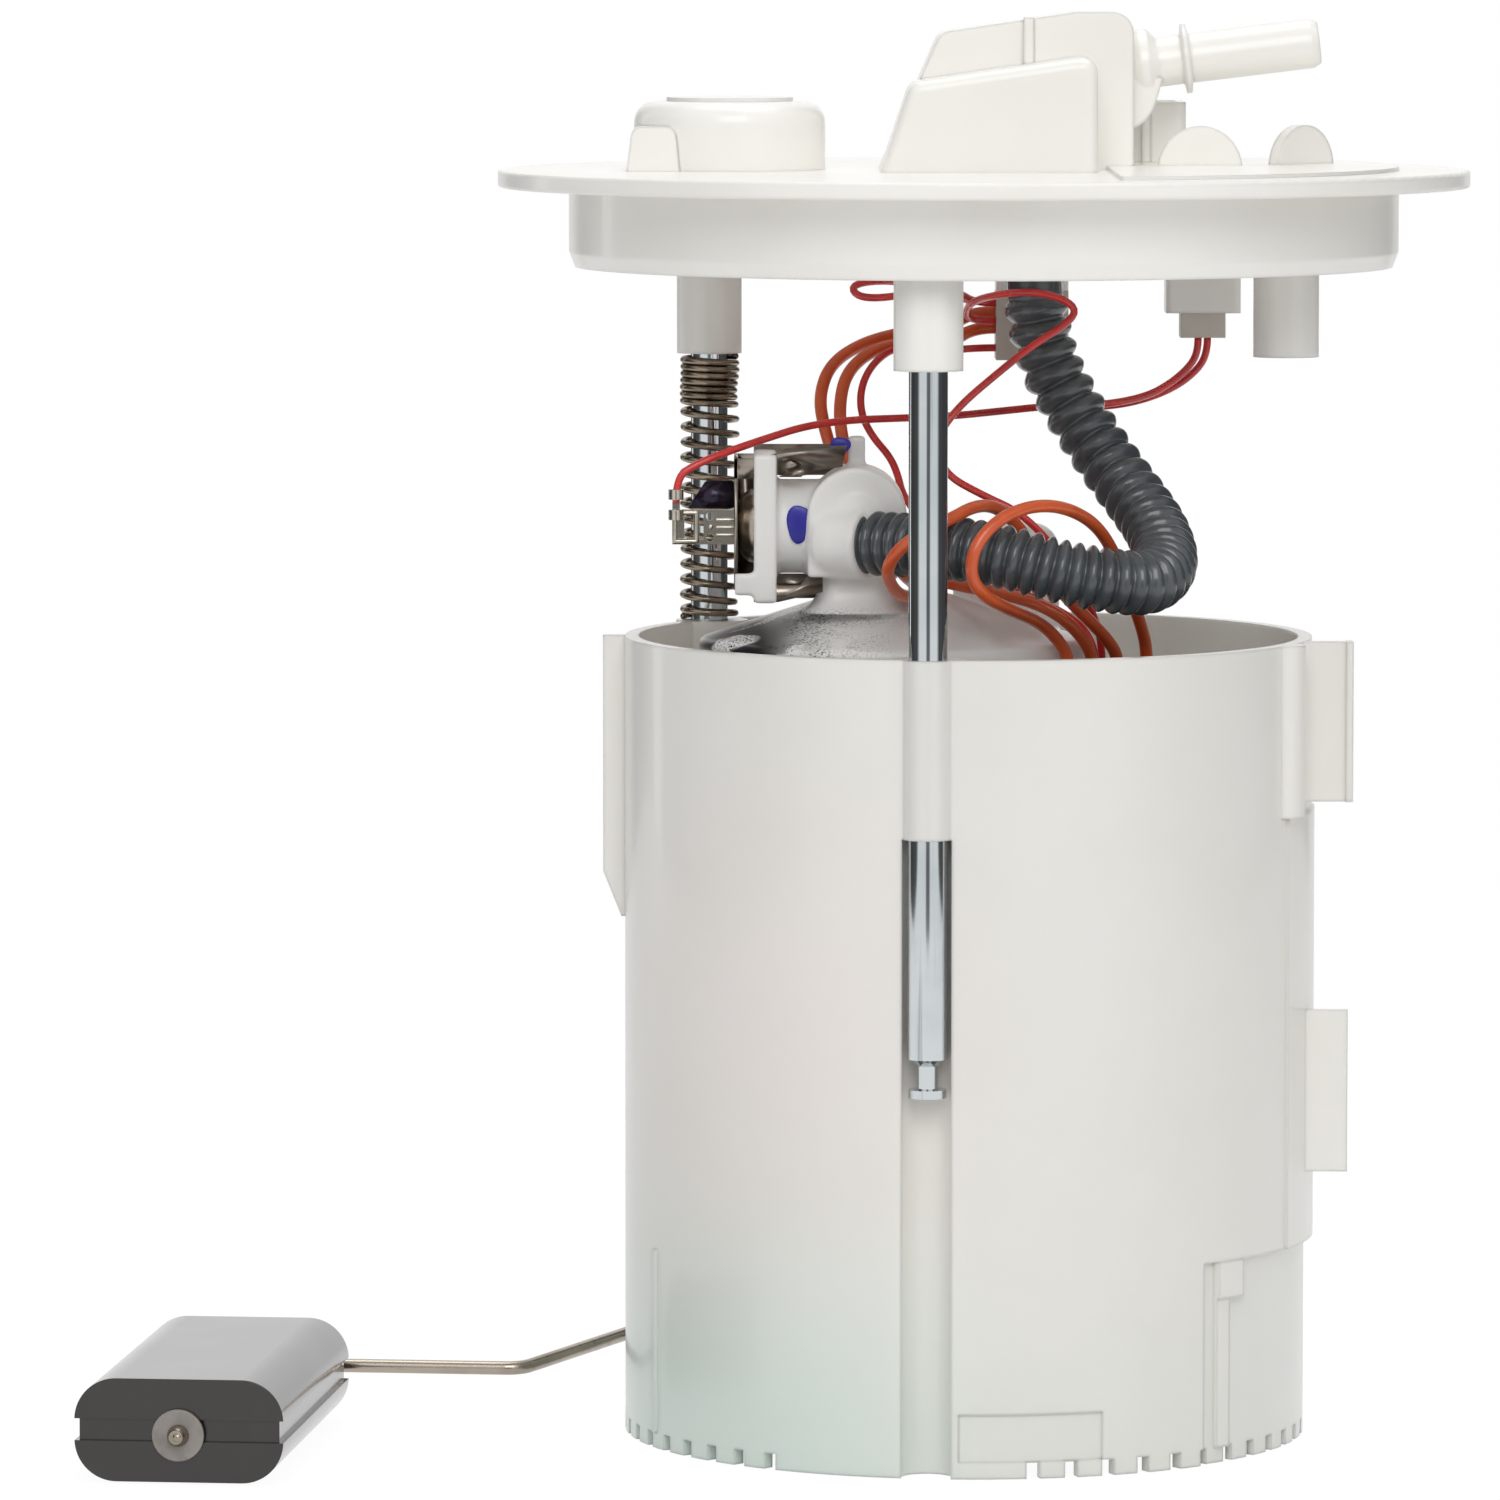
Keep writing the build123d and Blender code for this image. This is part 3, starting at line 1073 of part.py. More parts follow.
# Filter housing: outer wall, web that the pump stands on, and the pump sleeve
with BuildPart() as filter_housing:
    with BuildSketch(upright(PUMP_X, 0)):
        with BuildLine():
            Polyline(
                (housing_in_r, FLOOR_Z),
                (HOUSING_R, FLOOR_Z),
                (HOUSING_R, housing_top_z),
                (housing_in_r, housing_top_z),
                (housing_in_r, HOUSING_WEB_Z),
                (sleeve_out_r, HOUSING_WEB_Z),
                (sleeve_out_r, SLEEVE_TOP_Z),
                (sleeve_r, SLEEVE_TOP_Z),
                (sleeve_r, HOUSING_WEB_Z),
                (WEB_HOLE_R, HOUSING_WEB_Z),
                (WEB_HOLE_R, HOUSING_WEB_Z - HOUSING_WEB_T),
                (housing_in_r, HOUSING_WEB_Z - HOUSING_WEB_T),
                close=True,
            )
        make_face()
    revolve(axis=vertical(PUMP_X, 0))
    # Inlet windows at the floor
    with BuildSketch(Plane((PUMP_X, 0, FLOOR_Z))):
        with PolarLocations(HOUSING_R, 6, 30):
            Rectangle(4 * HOUSING_WALL, HOUSING_R / 3)
    extrude(amount=HOUSING_WEB_Z - HOUSING_WEB_T - FLOOR_Z - 1, mode=Mode.SUBTRACT)
save(filter_housing.part, "filter_housing")

with BuildPart() as inlet_strainer:
    with BuildSketch(Plane((PUMP_X, 0, FLOOR_Z))):
        Circle(STRAINER_R)
        Circle(INLET_R + STRAINER_FIT, mode=Mode.SUBTRACT)
    extrude(amount=HOUSING_WEB_Z - HOUSING_WEB_T - FLOOR_Z - STRAINER_FIT)
save(inlet_strainer.part, "inlet_strainer")

# Pleated filter element between two flat end rings
element_in_r = sleeve_out_r + ELEMENT_FIT
element_r = housing_in_r - ELEMENT_FIT
pleat_points = []
for k in range(2 * PLEATS):
    r = element_r - (k % 2) * PLEAT_DEPTH
    pleat_points.append((r * cos(pi * k / PLEATS), r * sin(pi * k / PLEATS)))
with BuildPart() as filter_element:
    with BuildSketch(Plane((PUMP_X, 0, HOUSING_WEB_Z))):
        with BuildLine():
            Polyline(*pleat_points, close=True)
        make_face()
        Circle(element_in_r, mode=Mode.SUBTRACT)
    extrude(amount=ELEMENT_TOP_Z - HOUSING_WEB_Z)
    for ring_z in (HOUSING_WEB_Z, ELEMENT_TOP_Z - PUMP_PLATE_T):
        with BuildSketch(Plane((PUMP_X, 0, ring_z))):
            Circle(element_r)
            Circle(element_in_r, mode=Mode.SUBTRACT)
        extrude(amount=PUMP_PLATE_T)
save(filter_element.part, "filter_element")

# Pump: rolled shell, end caps, and the motor between them
with BuildPart() as pump_shell:
    with BuildSketch(upright(PUMP_X, 0)):
        with BuildLine():
            Polyline(
                (shell_in_r - CAP_LIP, HOUSING_WEB_Z),
                (PUMP_R, HOUSING_WEB_Z),
                (PUMP_R, PUMP_TOP_Z),
                (shell_in_r - CAP_LIP, PUMP_TOP_Z),
                (shell_in_r - CAP_LIP, PUMP_TOP_Z - PUMP_SHELL_T),
                (shell_in_r, PUMP_TOP_Z - PUMP_SHELL_T),
                (shell_in_r, inlet_cap_z),
                (shell_in_r - CAP_LIP, inlet_cap_z),
                close=True,
            )
        make_face()
    revolve(axis=vertical(PUMP_X, 0))
save(pump_shell.part, "pump_shell")

chamber_h = IMPELLER_T + 2 * IMPELLER_GAP
with BuildPart() as pump_inlet_cap:
    with BuildSketch(Plane((PUMP_X, 0, inlet_cap_z))):
        Circle(shell_in_r)
    extrude(amount=INLET_CAP_T)
    with BuildSketch(Plane((PUMP_X, 0, inlet_cap_z))):
        Circle(INLET_R)
    extrude(amount=-INLET_L)
    with BuildSketch(Plane((PUMP_X, 0, inlet_cap_top_z))):
        Circle(IMPELLER_R + IMPELLER_GAP)
    extrude(amount=-chamber_h, mode=Mode.SUBTRACT)
    with BuildSketch(Plane((PUMP_X, 0, inlet_cap_top_z))):
        Circle(SHAFT_R + SHAFT_FIT)
    extrude(amount=2 - INLET_CAP_T, mode=Mode.SUBTRACT)
    with BuildSketch(Plane((PUMP_X, 0, inlet_cap_z - INLET_L))):
        with Locations((0, (INLET_R + SHAFT_R) / 2)):
            Circle(INLET_R / 4)
    extrude(amount=INLET_CAP_T, mode=Mode.SUBTRACT)
save(pump_inlet_cap.part, "pump_inlet_cap")

with BuildPart() as pump_bearing_plate:
    with BuildSketch(Plane((PUMP_X, 0, inlet_cap_top_z))):
        Circle(shell_in_r)
        Circle(SHAFT_R + SHAFT_FIT, mode=Mode.SUBTRACT)
        with Locations((IMPELLER_R - 2, 0)):
            Circle(1.5, mode=Mode.SUBTRACT)
    extrude(amount=PUMP_PLATE_T)
save(pump_bearing_plate.part, "pump_bearing_plate")

with BuildPart() as pump_outlet_cap:
    with BuildSketch(Plane((PUMP_X, 0, outlet_cap_z))):
        Circle(shell_in_r)
    extrude(amount=OUTLET_CAP_T)
    with BuildSketch(Plane((PUMP_X, 0, outlet_cap_z + OUTLET_CAP_T))):
        with Locations((0, COMMUTATOR_R)):
            Circle(NIPPLE_R)
    extrude(amount=PUMP_SHELL_T + NIPPLE_L)
    # Holders that carry the brushes
    with BuildSketch(Plane((PUMP_X, 0, outlet_cap_z))):
        with Locations((brush_back_r + 1, 0), (-brush_back_r - 1, 0)):
            Rectangle(2, BRUSH_W + 2)
    extrude(amount=-BRUSH_H)
    with BuildSketch(Plane((PUMP_X, 0, outlet_cap_z))):
        Circle(SHAFT_R + SHAFT_FIT)
    extrude(amount=OUTLET_CAP_T * 0.6, mode=Mode.SUBTRACT)
    with BuildSketch(Plane((PUMP_X, 0, outlet_cap_z))):
        with Locations((0, COMMUTATOR_R)):
            Circle(NIPPLE_R - 1.4)
    extrude(amount=OUTLET_CAP_T + PUMP_SHELL_T + NIPPLE_L, mode=Mode.SUBTRACT)
save(pump_outlet_cap.part, "pump_outlet_cap")

with BuildPart() as pump_brushes:
    with BuildSketch(Plane((PUMP_X, 0, outlet_cap_z))):
        with Locations((brush_back_r - BRUSH_L / 2, 0), (BRUSH_L / 2 - brush_back_r, 0)):
            Rectangle(BRUSH_L, BRUSH_W)
        Circle(COMMUTATOR_R + BRUSH_FIT, mode=Mode.SUBTRACT)
    extrude(amount=-BRUSH_H)
save(pump_brushes.part, "pump_brushes")

with BuildPart() as pump_magnets:
    with BuildSketch(Plane((PUMP_X, 0, armature_top_z + MAGNET_OVERHANG))):
        for side in (0, 180):
            add(ring_sector(magnet_in_r, shell_in_r, side - MAGNET_SPREAD / 2, MAGNET_SPREAD))
    extrude(amount=-ARMATURE_L - 2 * MAGNET_OVERHANG)
save(pump_magnets.part, "pump_magnets")

with BuildPart() as armature:
    with BuildSketch(Plane((PUMP_X, 0, armature_top_z))):
        Circle(armature_r)
        with PolarLocations(armature_r - SLOT_DEPTH / 2, ARMATURE_SLOTS):
            Rectangle(SLOT_DEPTH, SLOT_W, mode=Mode.SUBTRACT)
        Circle(SHAFT_R, mode=Mode.SUBTRACT)
    extrude(amount=-ARMATURE_L)
save(armature.part, "armature")

with BuildPart() as armature_winding:
    with BuildSketch(Plane((PUMP_X, 0, armature_top_z + WINDING_H))):
        with PolarLocations(armature_r - (SLOT_DEPTH + WINDING_FIT) / 2, ARMATURE_SLOTS):
            Rectangle(SLOT_DEPTH - WINDING_FIT - 1, SLOT_W - 2 * WINDING_FIT)
    extrude(amount=-ARMATURE_L - 2 * WINDING_H)
    for end_z in (armature_top_z, armature_top_z - ARMATURE_L - WINDING_H):
        with BuildSketch(Plane((PUMP_X, 0, end_z))):
            Circle(armature_r - 1)
            Circle(2 * SHAFT_R, mode=Mode.SUBTRACT)
        extrude(amount=WINDING_H)
save(armature_winding.part, "armature_winding")

with BuildPart() as commutator:
    with BuildSketch(Plane((PUMP_X, 0, commutator_z))):
        Circle(COMMUTATOR_R)
        with PolarLocations(COMMUTATOR_R, ARMATURE_SLOTS):
            Rectangle(2, 0.6, mode=Mode.SUBTRACT)
        Circle(SHAFT_R, mode=Mode.SUBTRACT)
    extrude(amount=COMMUTATOR_L)
save(commutator.part, "commutator")

with BuildPart() as pump_shaft:
    with BuildSketch(Plane((PUMP_X, 0, inlet_cap_top_z - INLET_CAP_T + 2 + IMPELLER_GAP))):
        Circle(SHAFT_R)
    extrude(amount=outlet_cap_z + OUTLET_CAP_T / 2 - inlet_cap_z - 2 - IMPELLER_GAP)
save(pump_shaft.part, "pump_shaft")

with BuildPart() as impeller:
    with BuildSketch(Plane((PUMP_X, 0, inlet_cap_top_z - IMPELLER_GAP))):
        Circle(IMPELLER_R)
        with PolarLocations(IMPELLER_R, IMPELLER_BLADES):
            Rectangle(2 * BLADE_DEPTH, pi * IMPELLER_R / IMPELLER_BLADES, mode=Mode.SUBTRACT)
        Circle(SHAFT_R, mode=Mode.SUBTRACT)
    extrude(amount=-IMPELLER_T)
save(impeller.part, "impeller")

# Filter cover: shallow dome, outlet tower with its hood and port, regulator socket
cover_in_r = HOUSING_R + COVER_FIT
port_dir = (cos(radians(PORT_TURN)), sin(radians(PORT_TURN)), 0)
port_plane = Plane(origin=(PORT_X, PORT_Y, PORT_Z), x_dir=(0, 0, 1), z_dir=port_dir)
with BuildPart() as filter_cover:
    with BuildSketch(upright(PUMP_X, 0)):
        with BuildLine():
            Polyline(
                (0, COVER_CROWN_Z),
                (COVER_CROWN_R, COVER_CROWN_Z),
                (cover_r, COVER_SHOULDER_Z),
                (cover_r, COVER_SHOULDER_Z - COVER_SKIRT),
                (cover_in_r, COVER_SHOULDER_Z - COVER_SKIRT),
                (cover_in_r, housing_top_z),
                (housing_in_r, housing_top_z),
                (COVER_CROWN_R, COVER_CROWN_Z - COVER_WALL),
                (0, COVER_CROWN_Z - COVER_WALL),
                close=True,
            )
        make_face()
    revolve(axis=vertical(PUMP_X, 0))
    shoulder = filter_cover.edges().filter_by(GeomType.CIRCLE)
    fillet(shoulder.filter_by_position(Axis.Z, COVER_SHOULDER_Z - 0.1, COVER_SHOULDER_Z + 0.1), 1.2)
    # Stem, hood and tab of the tower
    with BuildSketch(Plane.XY.offset(COVER_CROWN_Z - COVER_WALL)):
        with Locations((TOWER_X, TOWER_Y)):
            RectangleRounded(TOWER_W, TOWER_D, 1)
    extrude(amount=HOOD_BOTTOM_Z + 2 - COVER_CROWN_Z + COVER_WALL)
    with BuildSketch(Plane.XZ.offset(HOOD_D / 2 - TOWER_Y)):
        with Locations((TOWER_X, (HOOD_BOTTOM_Z + HOOD_CENTRE_Z) / 2)):
            Rectangle(HOOD_W, HOOD_CENTRE_Z - HOOD_BOTTOM_Z)
        with Locations((TOWER_X, HOOD_CENTRE_Z)):
            Circle(HOOD_W / 2)
    extrude(amount=-HOOD_D)
    with BuildSketch(Plane.XZ.offset(HOOD_D / 4 - TOWER_Y)):
        with Locations((TOWER_X, HOOD_CENTRE_Z)):
            Rectangle(TAB_W, 2 * (TAB_TOP_Z - HOOD_CENTRE_Z))
    extrude(amount=-HOOD_D / 2)
    # Port that carries the hose
    with BuildSketch(port_plane):
        Circle(PORT_R)
    extrude(amount=-PORT_L)
    with BuildSketch(port_plane):
        Circle(BARB_R)
    extrude(amount=BARB_L)
    # Regulator socket with its clip plate and lug
    with BuildSketch(Plane.YZ.offset(REG_PLATE_X)):
        with Locations((REG_Y, REG_Z)):
            Rectangle(REG_PLATE_D, REG_PLATE_H)
    extrude(amount=REG_PLATE_T)
    with BuildSketch(Plane.YZ.offset(REG_PLATE_X)):
        with Locations((REG_Y, REG_Z)):
            Circle(REG_BODY_R)
    extrude(amount=TOWER_X - REG_PLATE_X)
    with BuildSketch(Plane.XZ.offset(REG_PLATE_D / 2 - REG_Y)):
        with Locations((REG_PLATE_X - (REG_LUG_L - 1) / 2, REG_Z - REG_PLATE_H / 2 + REG_LUG_H * 0.85)):
            Rectangle(REG_LUG_L + 1, REG_LUG_H)
    extrude(amount=-(REG_PLATE_D / 2 - CLIP_HALF_D - CLIP_FIT))
    # Notches that the prongs of the clip sit in
    for notch_z, notch_h in (
        (CLIP_TOP_Z - CLIP_UPPER_H / 2, CLIP_UPPER_H + 2 * CLIP_FIT),
        (CLIP_BOTTOM_Z + CLIP_LOWER_H / 2, CLIP_LOWER_H + 2 * CLIP_FIT),
    ):
        with BuildSketch(Plane.YZ.offset(REG_PLATE_X)):
            with GridLocations(2 * CLIP_HALF_D - CLIP_T, 1, 2, 1):
                with Locations((REG_Y, notch_z)):
                    Rectangle(CLIP_T + 2 * CLIP_FIT, notch_h)
        extrude(amount=REG_PLATE_T, mode=Mode.SUBTRACT)
    # Rounded chamber behind the hose
    with BuildSketch(upright(COLUMN_X, COLUMN_Y)):
        with BuildLine():
            FilletPolyline(
                (0, COVER_SHOULDER_Z),
                (COLUMN_R, COVER_SHOULDER_Z),
                (COLUMN_R, COLUMN_TOP_Z),
                (0, COLUMN_TOP_Z),
                radius=(0, COLUMN_R / 2),
            )
            Line((0, COLUMN_TOP_Z), (0, COVER_SHOULDER_Z))
        make_face()
    revolve(axis=vertical(COLUMN_X, COLUMN_Y))
    # Fuel ways: up the tower, to the port, and on to the regulator
    with BuildSketch(Plane.XY.offset(COVER_CROWN_Z - 2 * COVER_WALL)):
        with Locations((TOWER_X, TOWER_Y)):
            Circle(OUTLET_BORE_R)
    extrude(amount=PORT_Z - COVER_CROWN_Z + 2 * COVER_WALL, mode=Mode.SUBTRACT)
    with BuildSketch(Plane.XZ.offset(-TOWER_Y)):
        with Locations((TOWER_X, PORT_Z)):
            Circle(OUTLET_BORE_R)
    extrude(amount=TOWER_Y - PORT_Y - OUTLET_BORE_R / 2, mode=Mode.SUBTRACT)
    with BuildSketch(port_plane.offset(BARB_L)):
        Circle(OUTLET_BORE_R)
    extrude(amount=-BARB_L - PORT_L / 2, mode=Mode.SUBTRACT)
    with BuildSketch(Plane.YZ.offset(REG_PLATE_X)):
        with Locations((REG_Y, REG_Z)):
            Circle(REG_CAN_R + REG_FIT)
    extrude(amount=REG_SEAT_X - REG_PLATE_X, mode=Mode.SUBTRACT)
    with BuildSketch(Plane.YZ.offset(REG_SEAT_X)):
        with Locations((REG_Y, REG_Z)):
            Circle(REG_PASSAGE_R)
    extrude(amount=TOWER_X - REG_SEAT_X, mode=Mode.SUBTRACT)
save(filter_cover.part, "filter_cover")

# Pressure regulator: a can with a domed end and a groove for its seal
reg_axis = Axis((0, REG_Y, REG_Z), (1, 0, 0))
with BuildPart() as pressure_regulator:
    with BuildSketch(Plane(origin=(0, REG_Y, REG_Z), x_dir=(1, 0, 0), z_dir=(0, -1, 0))):
        with BuildLine():
            FilletPolyline(
                (REG_TIP_X, 0),
                (REG_TIP_X, REG_CAN_R),
                (REG_SEAL_X - SEAL_W, REG_CAN_R),
                radius=(REG_CAN_R / 2,),
            )
            Polyline(
                (REG_SEAL_X - SEAL_W, REG_CAN_R),
                (REG_SEAL_X - SEAL_W, REG_CAN_R - 2 * SEAL_WIRE_R),
                (REG_SEAL_X + SEAL_W, REG_CAN_R - 2 * SEAL_WIRE_R),
                (REG_SEAL_X + SEAL_W, REG_CAN_R),
                (REG_SEAT_X, REG_CAN_R),
                (REG_SEAT_X, 0),
                (REG_TIP_X, 0),
            )
        make_face()
    revolve(axis=reg_axis)
save(pressure_regulator.part, "pressure_regulator")

with BuildPart() as regulator_seal:
    with BuildSketch(Plane(origin=(0, REG_Y, REG_Z), x_dir=(1, 0, 0), z_dir=(0, -1, 0))):
        with Locations((REG_SEAL_X, REG_CAN_R - SEAL_WIRE_R)):
            Circle(SEAL_WIRE_R)
    revolve(axis=reg_axis)
save(regulator_seal.part, "regulator_seal")

# Regulator clip: a folded strip whose prongs sit in notches of the clip plate
clip_x = REG_TIP_X - CLIP_T
with BuildPart() as regulator_clip:
    with BuildSketch(Plane.XZ.offset(-REG_Y)):
        with BuildLine():
            Polyline(
                (clip_x, CLIP_LEG_TOP_Z),
                (REG_PLATE_X, CLIP_LEG_TOP_Z),
                (REG_PLATE_X, CLIP_TOP_Z),
                (CLIP_RIGHT_X, CLIP_TOP_Z),
                (CLIP_RIGHT_X - CLIP_UPPER_H / 2, CLIP_TOP_Z - CLIP_UPPER_H),
                (REG_PLATE_X, CLIP_TOP_Z - CLIP_UPPER_H),
                (REG_PLATE_X, CLIP_BOTTOM_Z + CLIP_LOWER_H),
                (CLIP_LOWER_X - CLIP_LOWER_H / 2, CLIP_BOTTOM_Z + CLIP_LOWER_H),
                (CLIP_LOWER_X, CLIP_BOTTOM_Z),
                (REG_PLATE_X, CLIP_BOTTOM_Z),
                (REG_PLATE_X, CLIP_LEG_BOTTOM_Z),
                (clip_x, CLIP_LEG_BOTTOM_Z),
                close=True,
            )
        make_face()
    extrude(amount=CLIP_HALF_D, both=True)
    with BuildSketch(Plane.YZ.offset(REG_TIP_X)):
        with Locations((REG_Y, REG_Z)):
            Rectangle(2 * (CLIP_HALF_D - CLIP_T), 2 * REG_PLATE_H)
    extrude(amount=CLIP_RIGHT_X - REG_TIP_X, mode=Mode.SUBTRACT)
save(regulator_clip.part, "regulator_clip")

# Ground terminal: foot on the clip, strap with two eyes, and the crimped barrel
with BuildPart() as ground_terminal:
    with BuildSketch(Plane.XZ.offset(-STRAP_Y)):
        with BuildLine():
            Polyline(
                (STRAP_X0, STRAP_Z0),
                (STRAP_X0, STRAP_Z1),
                (clip_x, STRAP_Z1),
                (clip_x, STRAP_Z0),
                close=True,
            )
        make_face()
        with GridLocations(1, STRAP_EYE_PITCH, 1, 2):
            with Locations((STRAP_EYE_X, (STRAP_Z0 + STRAP_Z1) / 2)):
                Circle(STRAP_EYE_R, mode=Mode.SUBTRACT)
        with Locations((STRAP_X0 + 3.4, (STRAP_Z0 + STRAP_Z1) / 2)):
            Rectangle(3.0, STRAP_Z1 - STRAP_Z0 - 1.6, mode=Mode.SUBTRACT)
    extrude(amount=-CLIP_T)
    with BuildSketch(Plane.YZ.offset(clip_x)):
        with Locations((STRAP_Y + 2.5, (STRAP_Z0 + STRAP_Z1) / 2)):
            Rectangle(5, STRAP_Z1 - STRAP_Z0)
    extrude(amount=-CLIP_T)
    for crimp_z in (STRAP_Z1 - CRIMP_L, STRAP_Z1 + CRIMP_L):
        with BuildSketch(Plane((STRAP_X0 + RED_R, STRAP_Y - RED_R, crimp_z))):
            Circle(RED_R + CLIP_T)
            Circle(RED_R, mode=Mode.SUBTRACT)
        extrude(amount=CRIMP_L)
    with BuildSketch(Plane.XY.offset(STRAP_Z1 - CRIMP_L)):
        with Locations((STRAP_X0 + RED_R, STRAP_Y + CLIP_T / 2)):
            Rectangle(2 * RED_R, CLIP_T)
    extrude(amount=3 * CRIMP_L)
save(ground_terminal.part, "ground_terminal")

# Terminal block on the filter housing, where the pump leads end
with BuildPart() as terminal_block:
    with BuildSketch(Plane.XY.offset(BLOCK_TOP_Z)):
        with Locations((block_x, BLOCK_Y)):
            RectangleRounded(BLOCK_W, BLOCK_D, 2)
        with Locations((PUMP_X, 0)):
            Circle(HOUSING_R + BLOCK_FIT, mode=Mode.SUBTRACT)
    extrude(amount=-BLOCK_H)
save(terminal_block.part, "terminal_block")

# Level sender: housing on the reservoir's pad, resistor card, hub and wiper
card_z = PIVOT_Z + CARD_RADIUS
sender_face_n = sender_pad_n + SENDER_T
pin_tip_n = hub_n + HUB_T + PIN_HEAD_T
with BuildPart() as sender_housing:
    with BuildSketch(sender_plane(sender_pad_n)):
        with Locations((SENDER_U, PIVOT_Z)):
            RectangleRounded(SENDER_W, SENDER_H, 2)
    extrude(amount=-SENDER_T)
    with BuildSketch(sender_plane(sender_face_n)):
        with Locations((SENDER_U, PIVOT_Z)):
            Circle(PIVOT_R)
    extrude(amount=-(hub_n + HUB_T + 2 * PIVOT_FIT - sender_face_n))
    with BuildSketch(sender_plane(hub_n + HUB_T + 2 * PIVOT_FIT)):
        with Locations((SENDER_U, PIVOT_Z)):
            Circle(PIN_HEAD_R)
    extrude(amount=-PIN_HEAD_T)
    with BuildSketch(sender_plane(sender_face_n)):
        with Locations((SENDER_U, card_z)):
            Rectangle(CARD_W, CARD_H)
    extrude(amount=CARD_T, mode=Mode.SUBTRACT)
save(sender_housing.part, "sender_housing")

with BuildPart() as sender_card:
    with BuildSketch(sender_plane(sender_face_n)):
        with Locations((SENDER_U, card_z)):
            Rectangle(CARD_W, CARD_H)
    extrude(amount=CARD_T)
save(sender_card.part, "sender_card")

arm_bend = (ARM_BEND_U, ARM_BEND_Z)
arm_angle = degrees(atan2(arm_bend[1] - PIVOT_Z, arm_bend[0] - SENDER_U))
arm_toward = (cos(radians(arm_angle)), sin(radians(arm_angle)))
with BuildPart() as float_arm_wire:
    with BuildLine() as arm_route:
        FilletPolyline(
            sender_point(FLOAT_U, FLOAT_FRONT_N - WIRE_TIP, FLOAT_Z - WIRE_DROP),
            sender_point(FLOAT_U, WIRE_BEND_N, FLOAT_Z - WIRE_DROP),
            sender_point(ARM_CORNER_U, WIRE_BEND_N, FLOAT_Z - WIRE_DROP),
            sender_point(ARM_BEND_U, arm_n, ARM_BEND_Z),
            sender_point(
                SENDER_U + WIRE_END_R * arm_toward[0],
                arm_n,
                PIVOT_Z + WIRE_END_R * arm_toward[1],
            ),
            radius=ARM_BEND_R,
        )
    with BuildSketch(Plane(origin=arm_route.wires()[0] @ 0, z_dir=arm_route.wires()[0] % 0)):
        Circle(ARM_WIRE_R)
    sweep(path=arm_route.wires()[0])
save(float_arm_wire.part, "float_arm_wire")

hub_plane = Plane(
    origin=sender_point(SENDER_U, hub_n, PIVOT_Z),
    x_dir=(arm_toward[0] * sender_x[0], arm_toward[0] * sender_x[1], arm_toward[1]),
    z_dir=sender_n,
)
with BuildPart() as sender_hub:
    with BuildSketch(hub_plane):
        Circle(HUB_R)
        with Locations((HUB_ARM_L / 2, 0)):
            Rectangle(HUB_ARM_L, HUB_ARM_W)
        Circle(PIVOT_R + PIVOT_FIT, mode=Mode.SUBTRACT)
    extrude(amount=HUB_T)
    wire_end = hub_plane.from_local_coords((WIRE_END_R, 0, HUB_T / 2))
    with BuildSketch(Plane(origin=wire_end, z_dir=hub_plane.x_dir)):
        Circle(ARM_WIRE_R)
    extrude(amount=HUB_ARM_L, mode=Mode.SUBTRACT)
save(sender_hub.part, "sender_hub")

with BuildPart() as sender_wiper:
    with BuildSketch(sender_plane(hub_n)):
        with BuildLine():
            reach = CARD_RADIUS + 1
            spread = radians(90 + ARM_RANGE / 2)
            tip = (SENDER_U + reach * cos(spread), PIVOT_Z + reach * sin(spread))
            root = (SENDER_U + HUB_R * 0.6 * cos(spread), PIVOT_Z + HUB_R * 0.6 * sin(spread))
            side = (WIPER_W / 2 * sin(spread), -WIPER_W / 2 * cos(spread))
            Polyline(
                (root[0] + side[0], root[1] + side[1]),
                (tip[0] + side[0], tip[1] + side[1]),
                (tip[0] - side[0], tip[1] - side[1]),
                (root[0] - side[0], root[1] - side[1]),
                close=True,
            )
        make_face()
    extrude(amount=WIPER_T)
save(sender_wiper.part, "sender_wiper")

# Float with a groove round its middle, free to turn on the arm's long end
with BuildPart() as level_float:
    with BuildSketch(sender_plane(FLOAT_FRONT_N)):
        with Locations((FLOAT_U, FLOAT_Z)):
            RectangleRounded(FLOAT_W, FLOAT_H, FLOAT_EDGE_R)
    extrude(amount=-FLOAT_L)
    float_mid = sender_point(FLOAT_U, FLOAT_FRONT_N + FLOAT_L / 2, FLOAT_Z)
    with BuildSketch(Plane(origin=float_mid, x_dir=sender_x, z_dir=(0, 0, 1))):
        Rectangle(2 * FLOAT_W, 2 * FLOAT_L)
        Rectangle(FLOAT_W - 2 * FLOAT_GROOVE_DEPTH, FLOAT_L - 2 * FLOAT_GROOVE_DEPTH, mode=Mode.SUBTRACT)
    extrude(amount=FLOAT_GROOVE_W / 2, both=True, mode=Mode.SUBTRACT)
    with BuildSketch(sender_plane(FLOAT_FRONT_N)):
        with Locations((FLOAT_U, FLOAT_Z - WIRE_DROP)):
            Circle(ARM_WIRE_R + FLOAT_FIT)
    extrude(amount=-FLOAT_L, mode=Mode.SUBTRACT)
save(level_float.part, "level_float")

with BuildPart() as float_retainer:
    with BuildSketch(sender_plane(FLOAT_FRONT_N - 2 * FLOAT_FIT)):
        with Locations((FLOAT_U, FLOAT_Z - WIRE_DROP)):
            Circle(RETAINER_R)
            Circle(ARM_WIRE_R, mode=Mode.SUBTRACT)
    extrude(amount=RETAINER_T)
save(float_retainer.part, "float_retainer")

